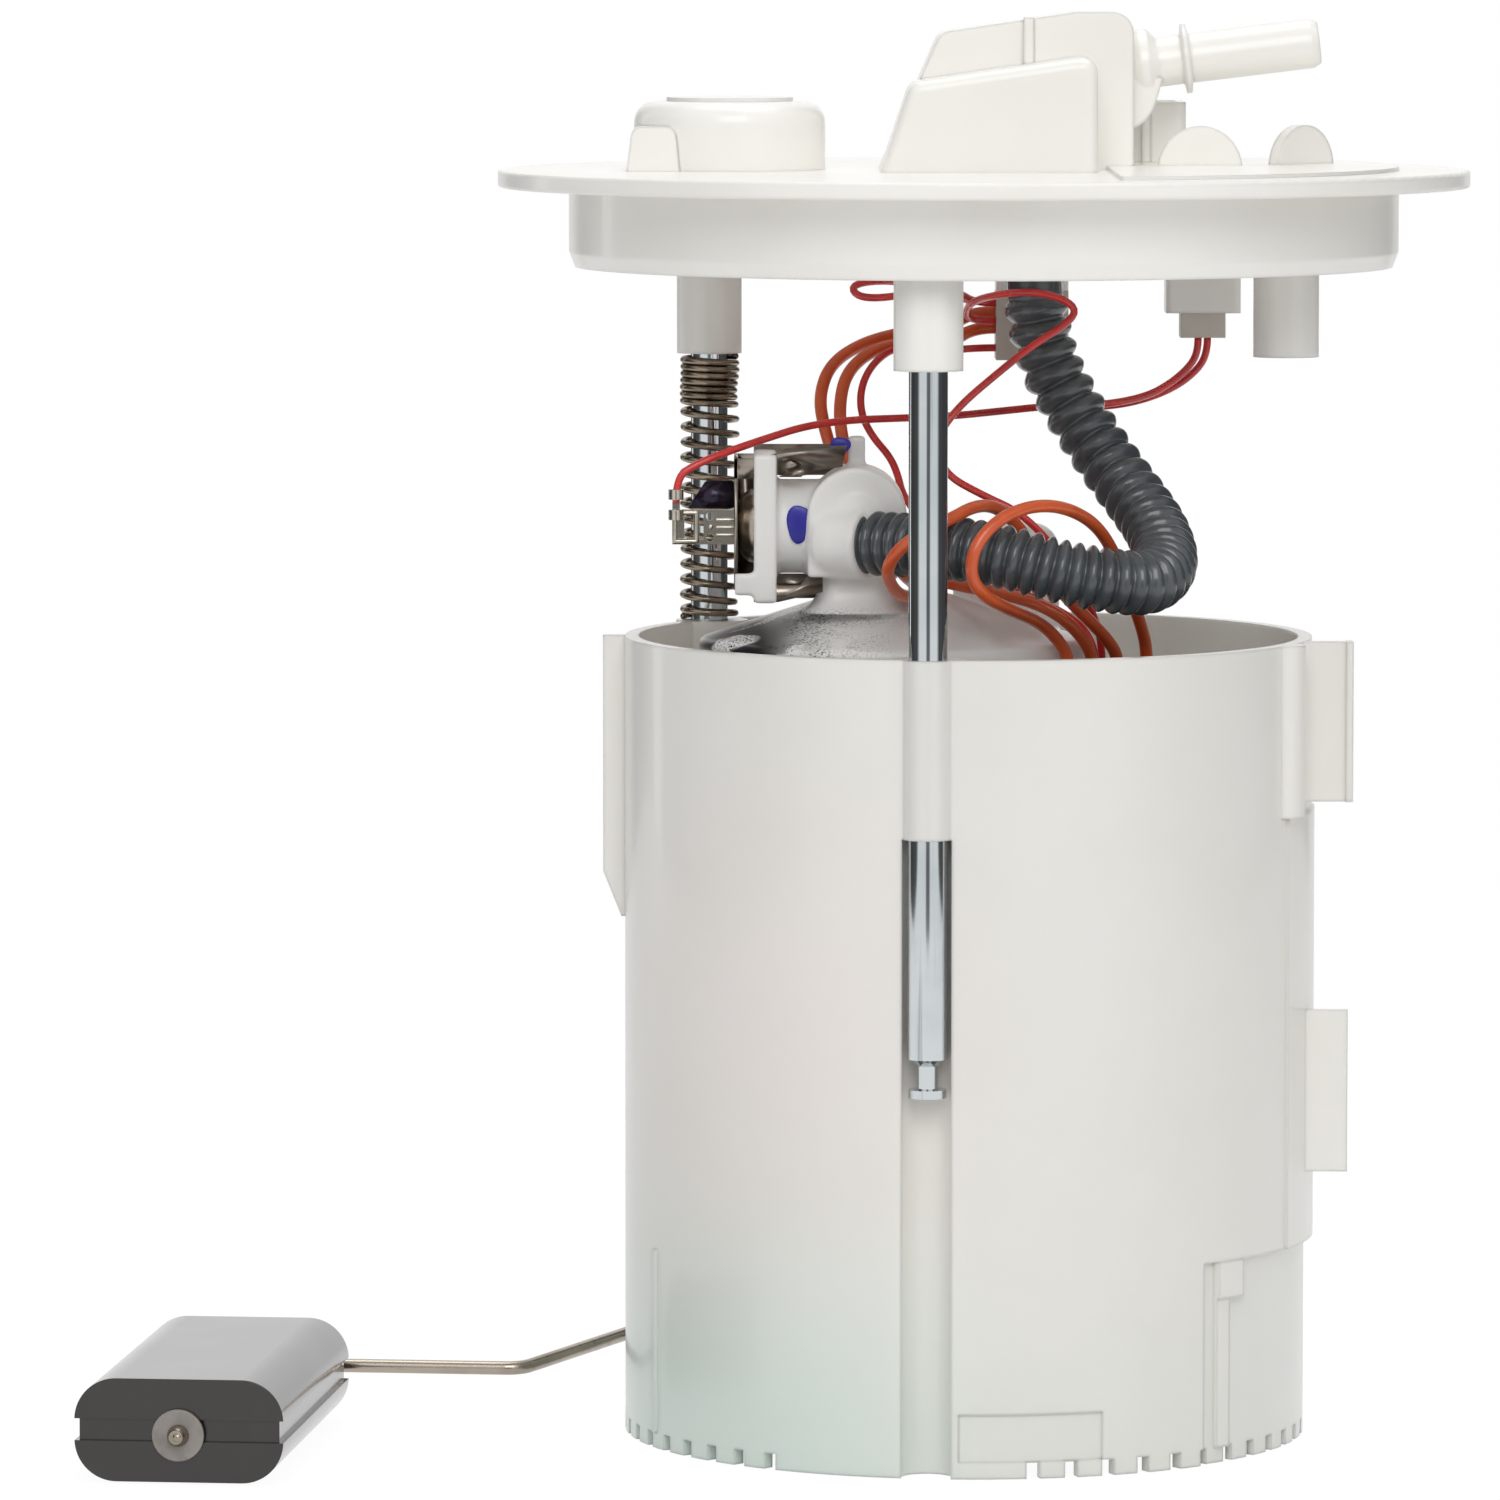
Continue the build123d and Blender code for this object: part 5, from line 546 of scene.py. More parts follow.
SLOT_FINISHES: dict[str, Finish] = {
    "natural_acetal": NATURAL_ACETAL,
    "plug_plastic": PLUG_NYLON,
    "black_plastic": BLACK_NYLON,
    "zinc_steel": ZINC_STEEL,
    "bronze_spring_steel": SPRING_STEEL,
    "stainless": STAINLESS,
    "grey_hose": HOSE_NYLON,
    "orange_wire": ORANGE_LEAD,
    "red_wire": RED_LEAD,
    "black_nitrile": NITRILE,
    "rubber_seal": SEAL_RUBBER,
    "copper": COPPER,
    "ferrite": FERRITE,
    "ceramic": CERAMIC,
    "filter_paper": PAPER,
}
NODE_FINISHES: dict[str, Finish] = {
    "reservoir": RESERVOIR_ACETAL,
    "filter_cover": FILTER_ACETAL,
    "ground_terminal": TIN_PLATE,
    "float_retainer": FROSTED_NYLON,
}


def dress(piece: bpy.types.Object, finish: Finish) -> None:
    """Gives a piece one finish and smooth shading.

    Args:
        piece: The mesh object.
        finish: The finish it takes.
    """
    piece.data.materials.clear()
    piece.data.materials.append(finish.material())
    for face in piece.data.polygons:
        face.use_smooth = True


def smooth_route(points: list[Point], name: str, steps: int = 12) -> list[Vector]:
    """Reads the points of one smooth curve through a route.

    Args:
        points: The route's control points.
        name: Name of the curve while it is read.
        steps: Points between two control points.

    Returns:
        Points along the curve, from first to last.
    """
    curve = bpy.data.curves.new(name, "CURVE")
    curve.dimensions = "3D"
    spline = curve.splines.new("NURBS")
    spline.points.add(len(points) - 1)
    for place, point in zip(spline.points, points):
        place.co = (*point, 1.0)
    spline.order_u = 3
    spline.use_endpoint_u = True
    spline.resolution_u = steps
    carrier = bpy.data.objects.new(name, curve)
    bpy.context.scene.collection.objects.link(carrier)
    bpy.context.view_layer.update()
    mesh = bpy.data.meshes.new_from_object(carrier)
    path = [vertex.co.copy() for vertex in mesh.vertices]
    bpy.data.meshes.remove(mesh)
    bpy.data.objects.remove(carrier)
    bpy.data.curves.remove(curve)
    return path


def path_length(path: list[Vector]) -> float:
    """Adds up the steps of a path.

    Args:
        path: Points along it.

    Returns:
        Its length.
    """
    return sum((b - a).length for a, b in zip(path, path[1:]))


def walk(path: list[Vector], distances: list[float]) -> list[tuple[Vector, Vector]]:
    """Finds the places at given distances along a path.

    Args:
        path: Points along it.
        distances: Distances from its start, rising.

    Returns:
        For each distance the place and the direction of travel.
    """
    found: list[tuple[Vector, Vector]] = []
    steps = [(b - a).length for a, b in zip(path, path[1:])]
    tangents = [(b - a).normalized() for a, b in zip(path, path[1:])]
    corners = [tangents[0]] + [(a + b).normalized() for a, b in zip(tangents, tangents[1:])] + [tangents[-1]]
    k, passed = 0, 0.0
    for distance in distances:
        while k < len(steps) - 1 and passed + steps[k] < distance:
            passed += steps[k]
            k += 1
        share = min(max((distance - passed) / steps[k], 0.0), 1.0)
        place = path[k].lerp(path[k + 1], share)
        found.append((place, corners[k].lerp(corners[k + 1], share).normalized()))
    return found


def ring(middle: Vector, across: Vector, up: Vector, radius: float, sides: int) -> list[Vector]:
    """Places the corners of a circle.

    Args:
        middle: Its centre.
        across: Direction of its first corner.
        up: The other direction of its plane.
        radius: Its radius.
        sides: Number of corners.

    Returns:
        The corners in order.
    """
    turns = [2 * math.pi * k / sides for k in range(sides)]
    return [middle + radius * (math.cos(turn) * across + math.sin(turn) * up) for turn in turns]


def tube(
    name: str, stations: list[tuple[Vector, Vector]], radii: list[float], sides: int
) -> bpy.types.Object:
    """Skins a closed tube over stations along a path.

    Args:
        name: Name of the piece.
        stations: Place and direction of each ring.
        radii: Radius of each ring.
        sides: Number of corners of a ring.

    Returns:
        The new mesh object.
    """
    mesh = bmesh.new()
    across = stations[0][1].orthogonal().normalized()
    rings = []
    for (place, toward), radius in zip(stations, radii):
        across = (across - toward * across.dot(toward)).normalized()
        rings.append(ring(place, across, toward.cross(across), radius, sides))
    add_stack(mesh, rings)
    return settle(name, mesh)


def prism(name: str, outline: Outline, front: float, depth: float, bevel: float) -> bpy.types.Object:
    """Makes one plate by pulling its face to the back, with softened edges.

    Args:
        name: Name of the piece.
        outline: Corners of its face as x and z.
        front: Y of its front face.
        depth: Thickness towards the back.
        bevel: Width of the softened edges.

    Returns:
        The new mesh object.
    """
    mesh = bmesh.new()
    face = mesh.faces.new([mesh.verts.new((x, front, z)) for x, z in outline])
    pulled = bmesh.ops.extrude_face_region(mesh, geom=[face])
    moved = [corner for corner in pulled["geom"] if isinstance(corner, bmesh.types.BMVert)]
    bmesh.ops.translate(mesh, verts=moved, vec=(0.0, depth, 0.0))
    bmesh.ops.recalc_face_normals(mesh, faces=mesh.faces[:])
    bmesh.ops.bevel(mesh, geom=mesh.edges[:], offset=bevel, segments=2, affect="EDGES")
    return settle(name, mesh)


def plates(name: str, parts: list[tuple[Outline, float, float]], bevel: float) -> bpy.types.Object:
    """Makes one piece of upright plates that face the front, with softened edges.

    Args:
        name: Name of the piece.
        parts: For each plate the corners of its face as x and z, the y of its front, and its thickness.
        bevel: Width of the softened edges.

    Returns:
        The new mesh object.
    """
    mesh = bmesh.new()
    for outline, front, depth in parts:
        add_stack(mesh, [[(x, y, z) for x, z in outline] for y in (front, front + depth)])
    bmesh.ops.recalc_face_normals(mesh, faces=mesh.faces[:])
    bmesh.ops.bevel(mesh, geom=mesh.edges[:], offset=bevel, segments=2, affect="EDGES", clamp_overlap=True)
    return settle(name, mesh)


def add_stack(mesh: bmesh.types.BMesh, sections: list[list[Point]]) -> None:
    """Adds a closed form skinned over sections that have the same count of corners.

    Args:
        mesh: The mesh that takes it.
        sections: Corners of each section, from first to last.
    """
    rings = [[mesh.verts.new(point) for point in section] for section in sections]
    for before, after in zip(rings, rings[1:]):
        for k, corner in enumerate(before):
            following = (k + 1) % len(before)
            mesh.faces.new((corner, before[following], after[following], after[k]))
    mesh.faces.new(list(reversed(rings[0])))
    mesh.faces.new(rings[-1])


def settle(name: str, mesh: bmesh.types.BMesh) -> bpy.types.Object:
    """Turns a finished mesh into an object of the scene.

    Args:
        name: Name of the piece.
        mesh: The mesh, which is freed.

    Returns:
        The new mesh object.
    """
    data = bpy.data.meshes.new(name)
    mesh.to_mesh(data)
    mesh.free()
    piece = bpy.data.objects.new(name, data)
    bpy.context.scene.collection.objects.link(piece)
    return piece


def fuse(piece: bpy.types.Object, voxel: float, rounds: int, pull: float = 0.5) -> None:
    """Melts the forms of a piece into one skin, with soft inner corners.

    Args:
        piece: The piece, whose mesh is replaced.
        voxel: Size of the skin's faces.
        rounds: How often the skin is smoothed.
        pull: How far a round moves each corner to its neighbours' middle.
    """
    melt = piece.modifiers.new("melt", "REMESH")
    melt.mode = "VOXEL"
    melt.voxel_size = voxel
    relax = piece.modifiers.new("relax", "SMOOTH")
    relax.factor = pull
    relax.iterations = rounds
    bpy.context.view_layer.update()
    graph = bpy.context.evaluated_depsgraph_get()
    data = bpy.data.meshes.new_from_object(piece.evaluated_get(graph))
    piece.modifiers.clear()
    piece.data = data


def daub(
    name: str, centre: Point, half_width: float, half_height: float, thickness: float,
    unevenness: float = 0.07, lobes: int = 3, turn: float = 0.6,
) -> bpy.types.Object:
    """Makes a low rounded dab that faces the front, with a slightly uneven rim.

    Args:
        name: Name of the piece.
        centre: Middle of the dab on the surface.
        half_width: Half its width.
        half_height: Half its height.
        thickness: How far it stands proud.
        unevenness: How far the rim strays, as a share of its width.
        lobes: How often it strays round the rim.
        turn: Where round the rim the first lobe starts.

    Returns:
        The new mesh object.
    """
    mesh = bmesh.new()
    bmesh.ops.create_uvsphere(mesh, u_segments=28, v_segments=14, radius=1.0)
    for vertex in mesh.verts:
        wobble = 1 + unevenness * math.sin(lobes * math.atan2(vertex.co.z, vertex.co.x) + turn)
        vertex.co = Vector((
            centre[0] + half_width * vertex.co.x * wobble,
            centre[1] + thickness * vertex.co.y,
            centre[2] + half_height * vertex.co.z * wobble,
        ))
    return settle(name, mesh)


def seat(piece: bpy.types.Object, finish: Finish, body: Body, stands_for: str = "") -> None:
    """Dresses a rigid piece and fixes it to its body.

    Args:
        piece: The piece.
        finish: The finish it takes.
        body: The body that carries it.
        stands_for: The node that it takes the place of, if any.
    """
    dress(piece, finish)
    if stands_for:
        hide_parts(stands_for)
    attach(piece, body.value)
    LOG.info("made %s", piece.name)


@dataclass
class CarriedNodes:
    """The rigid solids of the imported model, each with the finish of its slot."""

    record: dict
    nodes: dict

    def build(self) -> None:
        """Gives every node its finish."""
        slots = {part["node"]: part["material_slot"] for part in self.record["subparts"]}
        for name, piece in self.nodes.items():
            finish = NODE_FINISHES.get(name, SLOT_FINISHES[slots[name]])
            if piece.material_slots:
                for material_slot in piece.material_slots:
                    material_slot.material = finish.material()
            else:
                piece.data.materials.append(finish.material())
            LOG.info("dressed %s as %s", name, finish.name)


@dataclass
class FuelHose:
    """Corrugated hose from the cover's barb to the port of the filter cover."""

    route: list[Point]
    length: float = 0.1321
    diameter: float = 0.0102
    cuff_radius: float = 0.00435
    cuff_length: float = 0.0148
    root_radius: float = 0.0039
    crest_radius: float = 0.0051
    open_pitch: float = 0.0036
    close_pitch: float = 0.00225
    closing_starts: float = 0.050
    closing_ends: float = 0.085
    cuff_round: float = 0.0004
    cuff_draft: float = 0.0003
    wave_power: float = 0.85
    end_gap: float = 0.0003
    rings_per_wave: int = 12
    sides: int = 40

    def pitch(self, distance: float) -> float:
        """Pitch of the waves at a distance along the hose.

        Args:
            distance: Distance from the cover.

        Returns:
            The pitch there.
        """
        share = (distance - self.closing_starts) / (self.closing_ends - self.closing_starts)
        share = min(max(share, 0.0), 1.0)
        return self.open_pitch + (self.close_pitch - self.open_pitch) * share

    def profile(self, end: float) -> tuple[list[float], list[float]]:
        """Works out where the rings stand and how wide they are.

        Args:
            end: Length of the path.

        Returns:
            Distances and radii of the rings.
        """
        cuff, rounding = self.cuff_length, self.cuff_round
        distances = [0.0, rounding, cuff * 0.5, cuff - rounding, cuff]
        radii = [self.cuff_radius - self.cuff_draft] + [self.cuff_radius] * 4
        distance, phase = cuff, 0.0
        while distance < end - self.end_gap:
            distance += self.pitch(distance) / self.rings_per_wave
            phase += 1 / self.rings_per_wave
            wave = abs(math.sin(math.pi * phase)) ** self.wave_power
            distances.append(distance)
            radii.append(self.root_radius + (self.crest_radius - self.root_radius) * wave)
        return distances, radii

    def build(self) -> bpy.types.Object:
        """Returns:
            The hose.
        """
        path = smooth_route(self.route, "hose_route")
        distances, radii = self.profile(path_length(path))
        hose = tube("corrugated_hose", walk(path, distances), radii, self.sides)
        dress(hose, HOSE_NYLON)
        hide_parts("fuel_hose")
        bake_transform(hose)
        LOG.info("hose: %.1f mm, %d rings", 1000 * path_length(path), len(radii))
        return hose


@dataclass
class Lead:
    """One insulated lead along its route."""

    node: str
    route: list[Point]
    length: float
    radius: float
    finish: Finish
    slot: Slot
    body: Body | None = None
    sides: int = 20
    ring_step: float = 0.0006
    held_end: float = 0.008

    def build(self) -> bpy.types.Object:
        """Returns:
            The lead.
        """
        path = smooth_route(self.route, self.node + "_route")
        total = path_length(path)
        count = int(total / self.ring_step)
        stations = walk(path, [total * k / count for k in range(count + 1)])
        lead = tube(self.node + "_lead", stations, [self.radius] * len(stations), self.sides)
        dress(lead, self.finish)
        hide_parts(self.node)
        if self.body is None:
            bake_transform(lead)
        else:
            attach(lead, self.body.value)
        LOG.info("%s: %.1f mm", self.node, 1000 * total)
        return lead


@dataclass
class ReturnSpring:
    """Coil spring on the rear guide rod: closed turns at the top, open turns below."""

    wire_radius: float = 0.00054
    closed_turns: float = 7.0
    open_turns: float = 13.5
    end_turns: float = 1.0
    turn_gap: float = 1.02
    easing_turns: float = 0.5
    steps_per_turn: int = 40
    sides: int = 14
    lean: float = 0.00012
    turns_per_lean: float = 7.0
    held_end: float = 0.006

    def opened(self, turn: float, start: float) -> float:
        """Share of the change of pitch that is done, where it is centred on a turn.

        Args:
            turn: The turn asked for.
            start: The turn at which half of the change is done.

        Returns:
            A share from 0 to 1.
        """
        return min(max((turn - start) / self.easing_turns + 0.5, 0.0), 1.0)

    def path(self) -> list[Vector]:
        """Winds the wire's line between the boss of the cover and the reservoir's seat.

        Returns:
            Points along the wire, from the top.
        """
        low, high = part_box("return_spring")
        rod_low, rod_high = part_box("rear_guide_rod")
        centre = ((rod_low[0] + rod_high[0]) / 2, (rod_low[1] + rod_high[1]) / 2)
        radius = (high[0] - low[0]) / 2 - self.wire_radius
        top, bottom = high[2] - self.wire_radius, low[2] + self.wire_radius
        closed_pitch = 2 * self.wire_radius * self.turn_gap
        open_height = top - bottom - (self.closed_turns + self.end_turns) * closed_pitch
        open_pitch = open_height / self.open_turns
        last_open = self.closed_turns + self.open_turns
        drops = [0.0]
        for k in range(int((last_open + self.end_turns) * self.steps_per_turn)):
            turn = k / self.steps_per_turn
            share = self.opened(turn, self.closed_turns) * (1 - self.opened(turn, last_open))
            pitch = closed_pitch + (open_pitch - closed_pitch) * share
            drops.append(drops[-1] + pitch / self.steps_per_turn)
        scale = (top - bottom) / drops[-1]
        points = []
        for k, drop in enumerate(drops):
            angle = 2 * math.pi * k / self.steps_per_turn
            sway = self.lean * math.sin(angle / self.turns_per_lean)
            reach = radius + sway / 2
            points.append(Vector((
                centre[0] + reach * math.cos(angle) + sway,
                centre[1] + reach * math.sin(angle),
                top - drop * scale,
            )))
        return points

    def build(self) -> bpy.types.Object:
        """Builds the spring between its two seats.

        Returns:
            The spring.
        """
        path = self.path()
        tangents = [(b - a).normalized() for a, b in zip(path, path[1:])]
        tangents.append(tangents[-1])
        spring = tube("coil_spring", list(zip(path, tangents)), [self.wire_radius] * len(path), self.sides)
        dress(spring, SPRING_STEEL)
        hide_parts("return_spring")
        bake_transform(spring)
        LOG.info("spring: %d rings", len(path))
        return spring


@dataclass
class FilterCoverMoulding:
    """Filter cover in one moulding: dome, flared stem, hood, elbow and hose socket."""

    solid: bpy.types.Object
    middle: Pair = (-0.0201, -0.0100)
    hood_radius: float = 0.00778
    hood_centre: float = -0.0511
    hood_bottom: float = -0.0606
    hood_front: float = -0.0195
    hood_back: float = -0.0059
    crown_centre: Point = (-0.0200, -0.0146, -0.0530)
    crown_radii: Point = (0.0070, 0.0066, 0.0084)
    elbow_centre: Point = (-0.0226, -0.0169, -0.0552)
    elbow_radius: float = 0.0058
    socket_end: Point = (-0.0193, -0.0188, -0.0552)
    socket_turn: float = -30.0
    socket_radius: float = 0.0057
    socket_back: float = 0.0060
    socket_lip: float = 0.0012
    socket_bevel: Pair = (0.0005, 0.0003)
    socket_sides: int = 48
    hood_steps: int = 32
    corner_steps: int = 8
    stem_shift: float = -0.0003
    stem_half: float = 0.0059
    stem_corner: float = 0.0026
    flare: tuple[Pair, ...] = (
        (-0.0570, 0.0), (-0.0625, 0.0001), (-0.0638, 0.0003), (-0.0648, 0.0008), (-0.0656, 0.0016),
        (-0.0664, 0.0030),
    )
    voxel: float = 0.0004
    rounds: int = 4

    def hood_outline(self) -> Outline:
        """Draws the hood's face: straight sides under a half circle.

        Returns:
            Corners as x and z.
        """
        x, z, r = self.middle[0], self.hood_centre, self.hood_radius
        turns = [math.pi * k / self.hood_steps for k in range(self.hood_steps + 1)]
        arc = [(x - r * math.cos(turn), z + r * math.sin(turn)) for turn in turns]
        return [(x - r, self.hood_bottom), *arc, (x + r, self.hood_bottom)]

    def stem_section(self, height: float, spread: float) -> list[Point]:
        """Draws one level section of the stem, a square with round corners.

        Args:
            height: Its z.
            spread: How far it stands out from the straight stem.

        Returns:
            Its corners.
        """
        flat = self.stem_half - self.stem_corner
        radius = self.stem_corner + spread
        points = []
        for quarter in range(4):
            side = math.pi / 2 * (quarter + 0.5)
            x = self.middle[0] + math.copysign(flat, math.cos(side))
            y = self.middle[1] + self.stem_shift + math.copysign(flat, math.sin(side))
            for k in range(self.corner_steps + 1):
                turn = math.pi / 2 * (quarter + k / self.corner_steps)
                points.append((x + radius * math.cos(turn), y + radius * math.sin(turn), height))
        return points

    def socket_rings(self) -> list[list[Vector]]:
        """Places the rings of the hose's socket, from inside the elbow to its lip.

        Returns:
            The rings.
        """
        heading = math.radians(self.socket_turn)
        along = Vector((math.cos(heading), math.sin(heading), 0.0))
        across, up = Vector((-along.y, along.x, 0.0)), Vector((0.0, 0.0, 1.0))
        back, inward = self.socket_bevel
        stations = (
            (-self.socket_back, self.socket_radius),
            (self.socket_lip - back, self.socket_radius),
            (self.socket_lip, self.socket_radius - inward),
        )
        end = Vector(self.socket_end)
        return [
            ring(end + along * place, across, up, radius, self.socket_sides) for place, radius in stations
        ]

    def build(self) -> bpy.types.Object:
        """Adds the tower's round forms to the cover's solid and melts them into one skin.

        Returns:
            The moulding.
        """
        mesh = bmesh.new()
        mesh.from_mesh(self.solid.data)
        outline = self.hood_outline()
        add_stack(mesh, [[(x, y, z) for x, z in outline] for y in (self.hood_front, self.hood_back)])
        add_stack(mesh, [self.stem_section(height, spread) for height, spread in self.flare])
        balls = ((self.crown_centre, self.crown_radii), (self.elbow_centre, (self.elbow_radius,) * 3))
        for centre, radii in balls:
            made = bmesh.ops.create_uvsphere(mesh, u_segments=40, v_segments=24, radius=1.0)
            for vertex in made["verts"]:
                vertex.co = Vector([c + r * v for c, r, v in zip(centre, radii, vertex.co)])
        add_stack(mesh, self.socket_rings())
        cover = settle("filter_cover_moulding", mesh)
        fuse(cover, self.voxel, self.rounds)
        seat(cover, FILTER_ACETAL, Body.RESERVOIR, "filter_cover")
        return cover


@dataclass
class SpringClip:
    """Sheet-metal clip that holds the regulator: end plate, rear side and two folded prongs in front.

    Prongs and folds are given by their corners as x and z.
    """

    left: float = -0.0394
    inner: float = -0.0363
    front: float = -0.0186
    back: float = -0.0034
    sheet: float = 0.0006
    leg_top: float = -0.0420
    leg_bottom: float = -0.0626
    window_top: float = -0.0452
    window_bottom: float = -0.0612
    upper_prong: tuple[Pair, ...] = (
        (-0.0325, -0.0411), (-0.0312, -0.0403), (-0.0217, -0.0399), (-0.0224, -0.0433), (-0.0281, -0.0440),
        (-0.0290, -0.0427), (-0.0309, -0.0418), (-0.0325, -0.0423),
    )
    lower_prong: tuple[Pair, ...] = (
        (-0.0325, -0.0619), (-0.0290, -0.0619), (-0.0280, -0.0606), (-0.0255, -0.0606), (-0.0255, -0.0629),
        (-0.0325, -0.0645), (-0.0363, -0.0645),
    )
    rear_prongs: tuple[tuple[Pair, Pair], ...] = (
        ((-0.0218, -0.0405), (-0.0243, -0.0454)), ((-0.0275, -0.0610), (-0.0256, -0.0649)),
    )
    fold: tuple[Pair, ...] = ((-0.0325, -0.0449), (-0.0289, -0.0449), (-0.0276, -0.0439), (-0.0286, -0.0433))
    fold_depth: float = 0.0002
    inner_folds: tuple[tuple[Pair, ...], ...] = (
        ((-0.0325, -0.0413), (-0.0281, -0.0413), (-0.0281, -0.0447), (-0.0325, -0.0447)),
        ((-0.0325, -0.0604), (-0.0278, -0.0612), (-0.0278, -0.0622), (-0.0325, -0.0622)),
    )
    inner_depth: float = 0.0013
    bevel: float = 0.00006

    def build(self) -> bpy.types.Object:
        """Builds the clip from its plates.

        Returns:
            The clip.
        """
        left, inner, sheet = self.left, self.inner, self.sheet
        top, bottom = self.leg_top, self.leg_bottom
        upper = [(left, top), (inner, top), *self.upper_prong, (inner, self.window_top),
                 (left, self.window_top)]
        lower = [(left, self.window_bottom), (inner, self.window_bottom), *self.lower_prong, (inner, bottom),
                 (left, bottom)]
        rear = [(left, top), (inner, top)]
        for tip, heel in self.rear_prongs:
            rear += [(inner, tip[1]), tip, heel, (inner, heel[1])]
        rear += [(inner, bottom), (left, bottom)]
        end_plate = [(left, top), (left + sheet, top), (left + sheet, bottom), (left, bottom)]
        parts = [(upper, self.front, sheet), (lower, self.front, sheet), (rear, self.back - sheet, sheet),
                 (list(self.fold), self.front + self.fold_depth, sheet)]
        parts += [(list(corners), self.front + self.inner_depth, sheet) for corners in self.inner_folds]
        parts.append((end_plate, self.front, self.back - self.front))
        clip = plates("spring_clip", parts, self.bevel)
        seat(clip, CLIP_STEEL, Body.RESERVOIR, "regulator_clip")
        return clip


@dataclass
class TerminalTrim:
    """Rolled frame, stiffening ridges and rivet of the ground terminal."""

    left: float = -0.0487
    right: float = -0.0453
    low: float = -0.0553
    high: float = -0.0508
    face: float = -0.0130
    rim: float = 0.00042
    ridge_left: float = -0.0421
    ridge_right: float = -0.0390
    ridge_heights: tuple[float, ...] = (-0.0519, -0.0531, -0.0543)
    ridge_radius: float = 0.00024
    rivet: Point = (-0.04305, -0.0131, -0.0530)
    rivet_radius: float = 0.00042
    rivet_proud: float = 0.0003
    sides: int = 16

    def build(self) -> list[bpy.types.Object]:
        """Builds the trim on the terminal's front.

        Returns:
            The pieces.
        """
        left, right, low, high = self.left, self.right, self.low, self.high
        corners = [(left, low), (right, low), (right, high), (left, high)]
        pieces = [
            self.bar(f"frame_edge_{k + 1}", here, there, self.rim)
            for k, (here, there) in enumerate(zip(corners, corners[1:] + corners[:1]))
        ]
        for k, height in enumerate(self.ridge_heights):
            here, there = (self.ridge_left, height), (self.ridge_right, height)
            pieces.append(self.bar(f"strap_ridge_{k + 1}", here, there, self.ridge_radius))
        pieces.append(daub("strap_rivet", self.rivet, self.rivet_radius, self.rivet_radius, self.rivet_proud))
        for piece in pieces:
            seat(piece, TIN_PLATE, Body.RESERVOIR)
        return pieces

    def bar(self, name: str, here: Pair, there: Pair, radius: float) -> bpy.types.Object:
        """Makes a round bar with rounded ends along the terminal's face.

        Args:
            name: Name of the piece.
            here: Middle of its first end as x and z.
            there: Middle of its other end as x and z.
            radius: Its radius.

        Returns:
            The new mesh object.
        """
        start, stop = Vector((here[0], self.face, here[1])), Vector((there[0], self.face, there[1]))
        along = (stop - start).normalized()
        end = (stop - start).length / radius
        steps = ((-0.8, 0.6), (-0.4, 0.92), (0.0, 1.0), (end, 1.0), (end + 0.4, 0.92), (end + 0.8, 0.6))
        stations = [(start + along * (step * radius), along) for step, _ in steps]
        return tube(name, stations, [radius * share for _, share in steps], self.sides)


@dataclass
class RegulatorDressing:
    """Dabs of paint and the blued tab round the pressure regulator."""

    dot_proud: float = 0.00035
    side_dot_inset: float = 0.0022
    side_dot_front: float = 0.0074
    side_dot_rise: float = 0.0008
    side_dot_half: Pair = (0.0020, 0.0030)
    top_dot: Pair = (-0.0227, -0.0142)
    top_dot_drop: float = 0.0013
    top_dot_half: Pair = (0.0016, 0.0014)
    tab_foot_inset: float = 0.0030
    tab_head_inset: float = 0.0058
    tab_below: float = 0.0031
    tab_above: float = 0.0012
    tab_back: float = 0.0032
    tab_thickness: float = 0.0006
    tab_bevel: float = 0.00012

    def build(self) -> list[bpy.types.Object]:
        """Builds the paint dots and the blued tab of the terminal.

        Returns:
            The pieces.
        """
        can_low, can_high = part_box("pressure_regulator")
        strap_low, strap_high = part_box("ground_terminal")
        clip_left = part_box("regulator_clip")[0][0]
        cover_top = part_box("filter_cover")[1][2]
        side = (
            can_high[0] - self.side_dot_inset,
            (can_low[1] + can_high[1]) / 2 - self.side_dot_front,
            (can_low[2] + can_high[2]) / 2 + self.side_dot_rise,
        )
        top = (*self.top_dot, cover_top - self.top_dot_drop)
        dots = [
            daub("blue_dot_side", side, *self.side_dot_half, self.dot_proud),
            daub("blue_dot_top", top, *self.top_dot_half, self.dot_proud),
        ]
        for dot in dots:
            seat(dot, BLUE_PAINT, Body.RESERVOIR)
        low, high = strap_high[2] - self.tab_below, strap_high[2] + self.tab_above
        outline = [(strap_low[0] + self.tab_foot_inset, low), (clip_left, low), (clip_left, high),
                   (strap_low[0] + self.tab_head_inset, high)]
        tab = prism("blued_tab", outline, strap_low[1] + self.tab_back, self.tab_thickness, self.tab_bevel)
        seat(tab, DARK_TAB, Body.RESERVOIR)
        return [*dots, tab]


